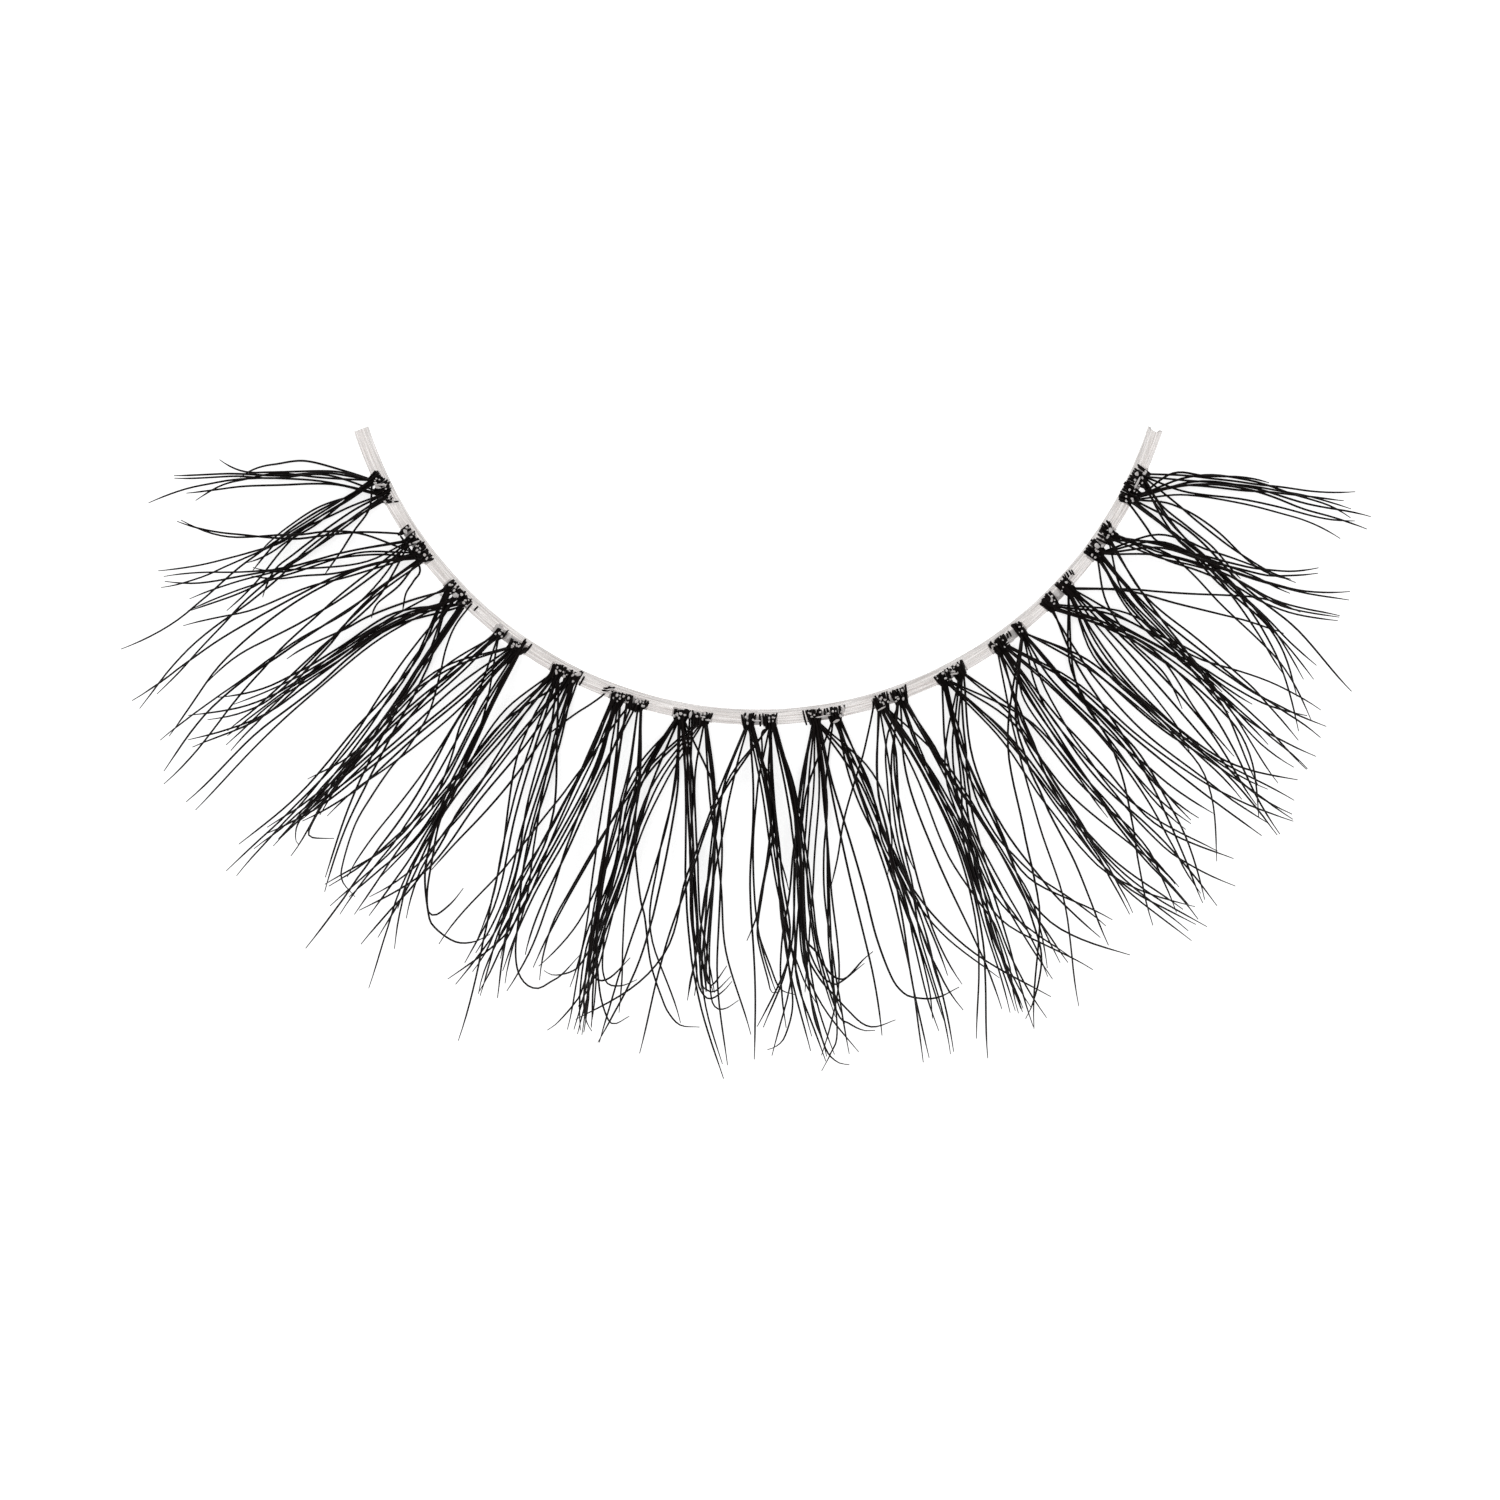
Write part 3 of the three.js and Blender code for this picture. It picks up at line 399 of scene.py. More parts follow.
# The glued roots of each cluster, side by side on the band. A row is the angles of a knot's two
# sides and how far out from the band's middle line its cut ends lie there.
KNOTS = {
    1: ((-1.8, -0.4, 0.03, -0.07), (-0.2, 2.4, -0.16, -0.03)),
    2: ((-2.4, -2, -0.03, 0), (-1.3, 0, -0.06, -0.03), (0.2, 3, -0.1, -0.07)),
    3: ((-2.1, -0.6, -0.1, -0.07), (-0.3, 0.3, -0.06, -0.06), (0.5, 2, -0.08, -0.06)),
    4: ((-2.2, -0.7, 0.03, 0.03), (0.3, 2.8, 0.06, 0.03)),
    5: ((-2, -0.2, 0, -0.1), (0.1, 1.9, -0.05, -0.1)),
    6: ((-2.2, -0.3, 0.03, -0.05), (-0.1, 2.8, -0.04, 0)),
    7: ((-2.4, -0.5, 0.03, -0.03), (0.3, 2.6, 0.02, 0)),
    8: ((-2, -0.6, -0.1, -0.1), (1, 2.4, -0.06, -0.1)),
    9: ((-2.2, -0.5, -0.1, -0.1), (0.5, 2.3, -0.08, -0.08)),
    10: ((-2.2, -0.3, -0.1, -0.14), (0.4, 2.3, -0.08, -0.15)),
    11: ((-2.1, -0.2, -0.03, -0.08), (0.2, 2, -0.06, -0.1)),
    12: ((-2.7, -0.1, -0.1, -0.08), (1.3, 2.6, -0.16, -0.06)),
    13: ((-2.5, -0.6, -0.1, -0.2), (0.6, 2.3, -0.2, -0.05)),
    14: ((-2.5, -0.2, -0.15, -0.2), (0.2, 2.5, -0.1, -0.2)),
    15: ((-2.6, -0.3, -0.2, -0.23), (0, 2.6, -0.22, -0.1)),
}

# Cut ends that stick out beside the knots: their angle, how far out from the band's middle line
# they start and end, and how far they lean along the band on the way.
FRAYS = {
    1: ((2.5, 0.15, -0.16, 0.5), (-1.8, 0.15, 0, -0.25), (0.6, 0, -0.2, -0.6)),
    2: ((3, 0.1, -0.08, 0.2), (0.3, 0.15, -0.16, 0.3)),
    3: ((3.1, 0.12, -0.06, 0), (0.4, 0.1, -0.14, 0.05)),
    4: ((-0.7, 0.1, -0.1, 0), (2, 0.2, -0.2, 0), (2.9, 0.2, -0.17, 0.2), (2.2, 0.2, -0.14, 0.1)),
    5: ((1.5, 0, -0.2, 0.4), (2.4, 0.25, -0.08, 0.15), (2, 0.1, -0.2, 0.1)),
    6: ((2.7, 0.2, -0.04, 0.2), (2.4, 0.2, -0.06, 0.15), (-3.5, 0.02, -0.1, 1.2), (-3.6, 0.1, 0, 1),
        (-2.6, -0.05, -0.13, 0.5), (-2.9, 0.05, -0.09, 0.3)),
    7: ((2.5, 0.15, -0.04, 0.3), (2.2, 0.15, -0.03, 0.2), (1.8, 0.15, -0.05, 0.2),
        (0, 0.1, -0.05, 0.05)),
    8: ((0.3, 0.3, -0.1, -0.1), (0.8, 0.3, -0.12, -0.15), (2.3, 0.1, -0.12, 0.3),
        (1.9, 0.1, -0.1, 0.3)),
    9: ((-2.6, 0.35, -0.14, -0.3), (2.7, 0.1, -0.1, 0.2), (0, 0.1, -0.1, 0.1)),
    10: ((2.5, 0.1, -0.15, 0.1), (-0.1, 0.15, -0.08, 0.1)),
    11: ((2, 0.15, -0.12, 0.15), (-2, 0.2, -0.02, -0.2)),
    12: ((0.1, 0.1, -0.05, 0.2), (0.5, 0.12, -0.08, 0.1), (-2.6, 0.15, -0.1, -0.1)),
    13: ((2, 0.02, -0.2, 0.25), (2.3, 0.03, -0.2, 0.3), (2.7, 0.03, -0.2, 0.3),
         (3.1, 0.03, -0.17, 0.3), (3.4, 0.05, -0.12, 0.3), (-2.4, 0.15, -0.1, -0.3)),
    14: ((2.5, 0.05, -0.16, 0.5), (2.4, 0.1, -0.08, 0.7), (2.4, 0.1, 0, 0.6)),
    15: ((2.4, 0.15, -0.1, 0.3), (-2.5, 0.1, -0.12, -0.3)),
}

# Light spots of set glue on the knots, coloured near white as painted glints on the glue and as the
# pale
# film showing between fibres: their angle, how far out they lie from the band's middle line, half
# their length and width, and the angle between their length and the band's.
GLUE_GLINT_SPOTS = {
    1: ((-0.1, 0.1, 0.23, 0.035, 65), (0.1, 0.2, 0.1, 0.04, 60), (2.8, -0.01, 0.14, 0.03, -25)),
    2: ((-2, 0.15, 0.1, 0.06, 0), (0, 0.05, 0.14, 0.035, 75), (2.1, 0.08, 0.06, 0.05, 0)),
    3: ((-0.15, 0.18, 0.09, 0.08, 90), (0.4, 0.02, 0.06, 0.05, 0), (-1.7, 0.08, 0.05, 0.04, 90),
        (-0.7, 0.1, 0.05, 0.04, 90), (1.4, 0.16, 0.06, 0.05, 0), (-1.5, 0.5, 0.06, 0.05, 0)),
    4: ((-1.3, 0.15, 0.06, 0.05, 0), (0, 0.06, 0.12, 0.05, 80), (1.9, 0.1, 0.05, 0.03, 90),
        (-1.8, -0.09, 0.09, 0.07, 0)),
    5: ((0.1, 0.2, 0.06, 0.05, 90), (1.7, -0.07, 0.1, 0.07, 40), (-0.75, 0.1, 0.05, 0.03, 0)),
    6: ((-1.4, 0.08, 0.06, 0.05, 90), (0.2, 0.05, 0.06, 0.04, 90), (1.4, 0.06, 0.09, 0.05, 60),
        (2.3, 0.16, 0.05, 0.04, 90), (-2.9, 0.12, 0.2, 0.03, 20), (-2.6, -0.02, 0.14, 0.025, 30)),
    7: ((-1.5, 0.12, 0.06, 0.05, 0), (-0.9, 0.14, 0.05, 0.04, 0), (-0.15, 0.1, 0.12, 0.05, 85),
        (0.75, 0.12, 0.05, 0.04, 0), (2.3, 0.19, 0.1, 0.03, 0), (1.75, 0.01, 0.05, 0.04, 0)),
    8: ((-1.5, 0.04, 0.04, 0.03, 90), (-0.15, 0.12, 0.13, 0.03, 0), (1.5, 0.04, 0.05, 0.03, 90)),
    9: ((-1.8, 0.1, 0.04, 0.03, 0), (-0.25, 0.14, 0.26, 0.03, 0), (1.4, 0.36, 0.13, 0.045, 15),
        (2.7, 0.03, 0.12, 0.03, 80)),
    10: ((-1.2, 0.01, 0.05, 0.04, 90), (-1.05, 0.14, 0.04, 0.03, 0), (-1.4, 0.31, 0.16, 0.03, 12),
         (0.1, 0.04, 0.1, 0.035, 85), (1.1, 0.18, 0.05, 0.04, 0)),
    11: ((-1.05, -0.02, 0.05, 0.04, 0), (0.3, 0.16, 0.13, 0.035, -20),
         (1.3, -0.03, 0.05, 0.04, 90)),
    12: ((-1.8, 0.05, 0.04, 0.03, 90), (-0.05, 0.19, 0.16, 0.025, 0),
         (-0.05, 0.26, 0.16, 0.025, 0)),
    13: ((-0.15, 0.05, 0.13, 0.1, 90), (-1.3, 0.09, 0.05, 0.04, 0), (2.8, 0.01, 0.1, 0.05, 0)),
    14: ((-0.7, 0.03, 0.1, 0.08, 60), (-0.25, 0.18, 0.06, 0.05, 0), (2.1, 0.11, 0.1, 0.07, 30)),
    15: ((0.4, 0.11, 0.23, 0.04, 0), (1.5, -0.03, 0.07, 0.06, 60), (1.95, 0.18, 0.06, 0.05, 90),
         (-0.9, -0.02, 0.05, 0.04, 0)),
}


def cluster_angle(index):
    return (index - (CLUSTER_COUNT + 1) / 2) * PITCH_ANGLE


def smoothstep(low, high, value):
    share = np.clip((np.asarray(value, float) - low) / (high - low), 0, 1)
    return share * share * (3 - 2 * share)


def plan(angle, reach):
    """The plan position at an angle and a distance out from the band's middle line."""
    turn = np.radians(np.asarray(angle, float))
    radius = BAND_RADIUS + np.asarray(reach, float)
    return ARC_CENTRE + np.stack([radius * np.sin(turn), -radius * np.cos(turn)], -1)


def reach_of(points):
    return np.hypot(*(points - ARC_CENTRE).T) - BAND_RADIUS


def turn_of(points):
    """The angles of plan points about the arc's centre, in radians."""
    beside = points - ARC_CENTRE
    return np.arctan2(beside[:, 0], -beside[:, 1])


def fibre_height(reach, raised, lift):
    """The middle height of a fibre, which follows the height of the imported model's locks."""
    run = np.maximum(0, reach - CURL_START) / (LASH_REACH - CURL_START)
    slope = 2 * CURL_RISE * run / (LASH_REACH - CURL_START)
    layer = LAYER if raised else 0
    laid = FIBRE_RADIUS + FLOOR_GAP + (layer + lift) * np.hypot(1, slope)
    glued = BAND_THICKNESS + FIBRE_RADIUS + GLUE_GAP + ROOT_LIFT_SHARE * lift
    settled = smoothstep(*SETTLE, reach)
    return glued * (1 - settled) + laid * settled + CURL_RISE * run * run


def smooth_route(points, stations):
    """A smooth curve through plan points, as evenly spaced stations."""
    points = np.asarray(points, float)
    ends = np.vstack([2 * points[0] - points[1], points, 2 * points[-1] - points[-2]])
    shares = np.linspace(0, 1, CURVE_STEPS + 1)[:, None]
    pieces = []
    for before, start, end, after in zip(ends, ends[1:], ends[2:], ends[3:]):
        bend = 2 * start + (end - before) * shares
        bend = bend + (2 * before - 5 * start + 4 * end - after) * shares**2
        bend = bend + (3 * start - before - 3 * end + after) * shares**3
        pieces.append(bend[:-1] / 2)
    dense = np.vstack(pieces + [points[-1:]])
    steps = np.hypot(*np.diff(dense, axis=0).T)
    run = np.concatenate([[0], np.cumsum(steps)])
    wanted = np.linspace(0, run[-1], stations)
    return np.stack([np.interp(wanted, run, dense[:, axis]) for axis in (0, 1)], -1)


def sideways(route):
    heading = np.gradient(route, axis=0)
    heading /= np.hypot(*heading.T)[:, None]
    return np.stack([-heading[:, 1], heading[:, 0]], -1)


def seen_from_camera(points):
    """Plan positions were read off the photo as if they lay on the floor, so a point above it
    moves towards the camera's axis until the camera sees it where the photo has it."""
    points = points.copy()
    share = (CAMERA_HEIGHT - points[:, 2:]) / CAMERA_HEIGHT
    points[:, :2] = CAMERA_PLAN + (points[:, :2] - CAMERA_PLAN) * share
    return points


def tube(centres, radii):
    """A round tube round a line of points, closed at both ends."""
    sides = FIBRE_SIDES
    heading = np.gradient(centres, axis=0)
    heading /= np.linalg.norm(heading, axis=1)[:, None]
    across = np.cross(heading, [0.0, 0.0, 1.0])
    across /= np.linalg.norm(across, axis=1)[:, None]
    over = np.cross(across, heading)
    turns = np.linspace(0, 2 * math.pi, sides, endpoint=False)[None, :, None]
    ring = np.cos(turns) * across[:, None] + np.sin(turns) * over[:, None]
    verts = (centres[:, None] + radii[:, None, None] * ring).reshape(-1, 3)
    firsts = (np.arange(len(centres) - 1) * sides)[:, None]
    here = firsts + np.arange(sides)[None]
    beside = firsts + (np.arange(sides)[None] + 1) % sides
    quads = np.stack([here, beside, beside + sides, here + sides], -1).reshape(-1, 4)
    last = (len(centres) - 1) * sides
    caps = [list(range(sides))[::-1], [last + side for side in range(sides)]]
    return verts, quads.tolist() + caps


def taper(stations, start):
    """How a fibre's thickness falls from its full size to its fine tip."""
    along = np.linspace(0, 1, stations)
    body = 1 - 0.17 * smoothstep(start, 1, along)
    return body * (1 - 0.55 * smoothstep(TIP_START, 1, along))


class Shape:
    """Gathers parts into one mesh, with a shade between 0 and 1 for each part's points."""

    def __init__(self):
        self.verts = []
        self.faces = []
        self.shades = []
        self.count = 0

    def add(self, verts, faces, shade=0.5):
        self.verts.append(np.asarray(verts, float))
        self.faces.extend([[index + self.count for index in face] for face in faces])
        self.shades.append(np.full(len(verts), shade))
        self.count += len(verts)

    def piece(self, name, material, slot, *nodes):
        mesh = bpy.data.meshes.new(name)
        mesh.from_pydata((np.vstack(self.verts) * MM).tolist(), [], self.faces)
        mesh.polygons.foreach_set("use_smooth", [True] * len(mesh.polygons))
        shade = mesh.attributes.new("shade", "FLOAT", "POINT")
        shade.data.foreach_set("value", np.concatenate(self.shades).astype(np.float32))
        mesh.materials.append(material)
        mesh.update()
        piece = bpy.data.objects.new(name, mesh)
        bpy.context.scene.collection.objects.link(piece)
        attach(piece, "root")
        if nodes:
            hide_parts(*nodes)


class Fibre:
    """One lash on its way to becoming a tube: its plan route, lift, thickness and shade."""

    def __init__(self, cluster, route, rng, taper_start=TAPER_START):
        self.cluster = cluster
        self.route = route
        self.lift = rng.uniform(0, LIFT_RANGE)
        self.radius = FIBRE_RADIUS * rng.uniform(*RADIUS_SPREAD)
        self.shade = rng.uniform(0, 1)
        self.taper_start = taper_start

    def add_to(self, shape):
        raised = self.cluster % 2 == 0
        height = fibre_height(reach_of(self.route), raised, self.lift)
        centres = seen_from_camera(np.column_stack([self.route, height]))
        verts, faces = tube(centres, self.radius * taper(len(self.route), self.taper_start))
        shape.add(verts, faces, self.shade)


def spread_roots(rows, knots, rng):
    """Gives every fibre its own place in one of the knots, in the order of their headings: the
    angle and the distance out of its cut end, and its angle in the knot's neck. Some come from
    the far knot, so that the fans of the two cross."""
    roots = [[] for _ in knots]
    middles = np.array([(left + right) / 2 for left, right, *_ in knots])
    for number, (root, heading, *_, count) in enumerate(rows):
        for place in range(count):
            crosses = rng.random() < CROSSING_SHARE and abs(heading) > CROSSING_HEADING
            from_angle = -heading * CROSSING_LEAN if crosses else root
            knot = int(np.argmin(abs(middles - from_angle)))
            order = heading + 0.1 * place + rng.normal(0, ORDER_SPREAD)
            roots[knot].append((order, number, place))
    own = {}
    for (left, right, left_top, right_top), middle, members in zip(knots, middles, roots):
        for order, (_, number, place) in enumerate(sorted(members)):
            share = (order + 0.5) / len(members)
            angle = left + (right - left) * share
            top = left_top + (right_top - left_top) * share
            own[number, place] = (angle, top, middle + (angle - middle) * NECK_SHARE)
    return own


def bundle(cluster, row, roots, rng):
    """The fibres of one bundle leave their own roots and run much the same way, each with small
    wanderings of its own, so that they cross at slight angles and part at their tips."""
    *angles, reach, count = row
    outs = np.linspace(0, reach * FIBRE_REACH, len(angles))
    outs[0] = NECK_REACH
    along = np.linspace(0, 1, FIBRE_STATIONS)[:, None]
    wander = WANDER * (1 if count > 1 else LONE_WANDER_SHARE)
    tip_share = np.clip((along - TIP_BEND_START) / (1 - TIP_BEND_START), 0, 1) ** 2
    for place in range(count):
        angle, top, neck = roots[place]
        headings = np.array([neck, *angles[1:]]) + rng.normal(0, 1, len(WANDER)) * wander
        points = plan(cluster_angle(cluster) + headings, outs)
        route = smooth_route(points, FIBRE_STATIONS)
        beside = (place - (count - 1) / 2) * FIBRE_SPACING * smoothstep(0, 0.25, along)
        bend = rng.normal(0, TIP_BEND) * tip_share
        free = route + sideways(route) * (beside + bend)
        cut_angle = cluster_angle(cluster) + angle + rng.normal(0, CUT_WANDER)
        root = plan(cut_angle, top + rng.uniform(*CUT_SPREAD))
        yield Fibre(cluster, np.vstack([root, (root + free[0]) / 2, free]), rng)


def keep_apart(fibres):
    """Neighbouring fibres push one another aside along the arc, so that light shows between
    them. Two that cross still do, because the push fades away where they meet."""
    reaches = np.arange(PUSH_STEP, PUSH_REACH, PUSH_STEP)
    places = np.full((len(fibres), len(reaches)), np.nan)
    for index, fibre in enumerate(fibres):
        turns = np.interp(reaches, reach_of(fibre.route), turn_of(fibre.route), np.nan, np.nan)
        places[index] = turns * (BAND_RADIUS + reaches)
    shifts = np.zeros_like(places)
    for column in range(len(reaches)):
        gap = places[:, column, None] - places[None, :, column]
        push = np.nan_to_num(gap * np.exp(-((gap / PUSH_RANGE) ** 2)))
        shifts[:, column] = PUSH_SHARE * push.sum(1)
    margin = len(PUSH_SMOOTHING) // 2
    padded = np.pad(shifts, ((0, 0), (margin, margin)), mode="edge")
    shifts = sum(
        weight * padded[:, first : first + len(reaches)]
        for first, weight in enumerate(PUSH_SMOOTHING)
    )
    shifts = np.clip(shifts, -PUSH_LIMIT, PUSH_LIMIT) * smoothstep(*PUSH_FADE, reaches)
    for fibre, shift in zip(fibres, shifts):
        turn = turn_of(fibre.route)
        moved = np.interp(reach_of(fibre.route), reaches, shift)[:, None]
        fibre.route = fibre.route + moved * np.stack([np.cos(turn), np.sin(turn)], -1)


def add_root_fibre(shape, start, end, low, rng):
    """A short cut length of fibre in the glue on the band, from its outer end to its cut end."""
    middle = (start + end) / 2 + rng.normal(0, ROOT_BEND, 2)
    route = smooth_route([start, middle, end], len(ROOT_RISE))
    centres = seen_from_camera(np.column_stack([route, low + ROOT_RISE]))
    verts, faces = tube(centres, FIBRE_RADIUS * ROOT_TAPER * rng.uniform(0.85, 1.1))
    shape.add(verts, faces, rng.uniform(0, 1))


def add_roots(shape, index, rng):
    """The parallel cut ends of a cluster's knots, and the odd ones that stick out beside them."""
    centre = cluster_angle(index)
    seat = BAND_THICKNESS + FIBRE_RADIUS
    degree = math.radians(1) * BAND_RADIUS
    for left, right, left_top, right_top in KNOTS[index]:
        count = max(3, round((right - left) * degree / ROOT_SPACING))
        middle = (left + right) / 2
        for place in range(count):
            share = place / (count - 1)
            angle = left + (right - left) * share
            top = left_top + (right_top - left_top) * share + rng.uniform(*CUT_SPREAD)
            foot = ROOT_FOOT + rng.uniform(-ROOT_FOOT_SPREAD, ROOT_FOOT_SPREAD)
            end = plan(centre + angle + rng.normal(0, ROOT_LEAN), top)
            start = plan(centre + middle + (angle - middle) * NECK_SHARE, foot)
            add_root_fibre(shape, start, end, seat + rng.uniform(0, ROOT_DEPTH), rng)
    for angle, foot, top, lean in FRAYS[index]:
        start = plan(centre + angle, foot)
        end = plan(centre + angle + lean, top)
        add_root_fibre(shape, start, end, seat + FRAY_LIFT, rng)


def dome(left, right, reaches, base, crown, lumps, rng):
    """A low lumpy mound of glue between two angles and two reaches."""
    columns = DOME_COLUMNS
    across, out = np.meshgrid(np.linspace(-1, 1, columns), np.linspace(-1, 1, DOME_ROWS))
    near, far = reaches
    places = plan(left + (right - left) * (across + 1) / 2, near + (far - near) * (out + 1) / 2)
    edge = np.clip((1 - across**4) * (1 - out**4), 0, 1) ** 0.5
    top = base + (crown - base) * edge + rng.normal(0, lumps, across.shape) * edge
    upper = np.dstack([places, top]).reshape(-1, 3)
    lower = np.dstack([places, np.full(top.shape, base - DOME_DEPTH)]).reshape(-1, 3)
    size = len(upper)
    faces = []
    for row in range(DOME_ROWS - 1):
        for column in range(columns - 1):
            here = row * columns + column
            quad = [here, here + columns, here + columns + 1, here + 1]
            faces.append(quad)
            faces.append([index + size for index in reversed(quad)])
    rim = list(range(columns))
    rim += [row * columns + columns - 1 for row in range(1, DOME_ROWS)]
    rim += [size - 1 - column for column in range(1, columns)]
    rim += [row * columns for row in range(DOME_ROWS - 2, 0, -1)]
    for here, after in zip(rim, rim[1:] + rim[:1]):
        faces.append([here, after, after + size, here + size])
    return np.vstack([upper, lower]), faces


def drop(angle, out, height, sizes, turn, rng):
    """A small drop of glue: a squashed ball with its own slight unevenness. sizes are its half
    length, half width and half height, and turn is the angle between its length and the band's."""
    sides = DROP_SIDES
    verts = [[0, 0, -1]]
    for ring in range(1, DROP_RINGS):
        slant = math.pi * ring / DROP_RINGS
        for side in range(sides):
            around = 2 * math.pi * side / sides
            level = [math.sin(slant) * math.cos(around), math.sin(slant) * math.sin(around)]
            verts.append([*level, -math.cos(slant)])
    verts.append([0, 0, 1])
    verts = np.array(verts) * sizes * rng.uniform(0.88, 1.12, (len(verts), 1))
    heading = math.radians(angle + turn)
    cosine = math.cos(heading)
    sine = math.sin(heading)
    verts[:, :2] = verts[:, :2] @ np.array([[cosine, -sine], [sine, cosine]]).T
    verts += [*plan(angle, out), height]
    faces = [[0, 1 + (side + 1) % sides, 1 + side] for side in range(sides)]
    for ring in range(DROP_RINGS - 2):
        for side in range(sides):
            here = 1 + ring * sides + side
            after = 1 + ring * sides + (side + 1) % sides
            faces.append([here, after, after + sides, here + sides])
    top = len(verts) - 1
    first = top - sides
    faces += [[first + side, first + (side + 1) % sides, top] for side in range(sides)]
    return verts, faces


def node_material(name, colour, **inputs):
    """A material with fixed values. Where a link is added to one, the value is what a viewer
    that reads no links shows."""
    material = bpy.data.materials.new(name)
    material.use_nodes = True
    shader = material.node_tree.nodes["Principled BSDF"]
    shader.inputs["Base Color"].default_value = (*colour, 1)
    for label, value in inputs.items():
        shader.inputs[label.replace("_", " ")].default_value = value
    return material, material.node_tree, shader


def noise(tree, scale, detail, place=None):
    """A noise at a place, or at each point of the piece."""
    node = tree.nodes.new("ShaderNodeTexNoise")
    node.inputs["Scale"].default_value = scale
    node.inputs["Detail"].default_value = detail
    place = place or tree.nodes.new("ShaderNodeTexCoord").outputs["Object"]
    tree.links.new(place, node.inputs["Vector"])
    return node.outputs["Fac"]


def mapped(tree, source, low, high, from_low=0.3, from_high=0.7, clamp=True):
    reach = tree.nodes.new("ShaderNodeMapRange")
    reach.clamp = clamp
    limits = {"From Min": from_low, "From Max": from_high, "To Min": low, "To Max": high}
    for label, value in limits.items():
        reach.inputs[label].default_value = value
    tree.links.new(source, reach.inputs["Value"])
    return reach.outputs["Result"]


def math_node(tree, kind, operation, first, second):
    """A node that works on two inputs, each a link or a fixed value."""
    node = tree.nodes.new(kind)
    node.operation = operation
    for socket, source in zip(node.inputs, (first, second)):
        if isinstance(source, bpy.types.NodeSocket):
            tree.links.new(source, socket)
        else:
            socket.default_value = source
    return node


def add_bump(tree, shader, source, distance, strength):
    bump = tree.nodes.new("ShaderNodeBump")
    bump.inputs["Distance"].default_value = distance
    bump.inputs["Strength"].default_value = strength
    tree.links.new(source, bump.inputs["Height"])
    tree.links.new(bump.outputs["Normal"], shader.inputs["Normal"])


def colour_mix(tree, factor, first, second):
    mix = tree.nodes.new("ShaderNodeMix")
    mix.data_type = "RGBA"
    mix.inputs[6].default_value = (*first, 1)
    mix.inputs[7].default_value = (*second, 1)
    tree.links.new(factor, mix.inputs[0])
    return mix.outputs[2]


def speckled(name, size, colours, roughness, bump, **inputs):
    """A material whose colour, roughness and bump follow one noise. size is the noise's scale
    and detail, and bump its distance and strength."""
    material, tree, shader = node_material(name, colours[0], **inputs)
    spots = noise(tree, *size)
    colour = colour_mix(tree, mapped(tree, spots, 0, 1), *colours)
    tree.links.new(colour, shader.inputs["Base Color"])
    tree.links.new(mapped(tree, spots, *roughness), shader.inputs["Roughness"])
    add_bump(tree, shader, spots, *bump)
    return material


def knot_material():
    """Dark glue soaked into the fibre ends, glossy where it has pooled."""
    colours = ((0.006, 0.0045, 0.005), (0.03, 0.021, 0.023))
    return speckled("root_glue", (14000, 4), colours, (0.18, 0.5), (0.00003, 0.8))


def glue_glint_material():
    """Clear glue that has set in beads between the fibres. It is coloured near white as painted
    glints on the glue, and as the pale film seen through it.
    """
    # Near-white colours: painted glints on the clear glue, and the pale film seen through it.
    colours = ((0.86, 0.79, 0.77), (0.99, 0.97, 0.96))
    gloss = {"Coat_Weight": 0.4, "Coat_Roughness": 0.05, "Alpha": 0.85}
    return speckled("clear_glue", (12000, 2), colours, (0.08, 0.3), (0.00001, 0.4), **gloss)


def lash_material():
    """Dark synthetic fibre: each fibre has its own shade, with faint streaks and a soft sheen."""
    darkest = (0.0036, 0.0025, 0.0024)
    palest = (0.0165, 0.0119, 0.0112)
    material, tree, shader = node_material("lash_fibre", darkest, Specular_IOR_Level=0.08)
    shade = tree.nodes.new("ShaderNodeAttribute")
    shade.attribute_name = "shade"
    streaks = noise(tree, 9000, 3)
    blend = math_node(tree, "ShaderNodeMath", "MULTIPLY_ADD", shade.outputs["Fac"], 0.6)
    tree.links.new(mapped(tree, streaks, 0, 0.4), blend.inputs[2])
    colour = colour_mix(tree, blend.outputs["Value"], darkest, palest)
    tree.links.new(colour, shader.inputs["Base Color"])
    tree.links.new(mapped(tree, streaks, 0.36, 0.58), shader.inputs["Roughness"])
    add_bump(tree, shader, noise(tree, 42000, 2), 0.000004, 0.5)
    return material


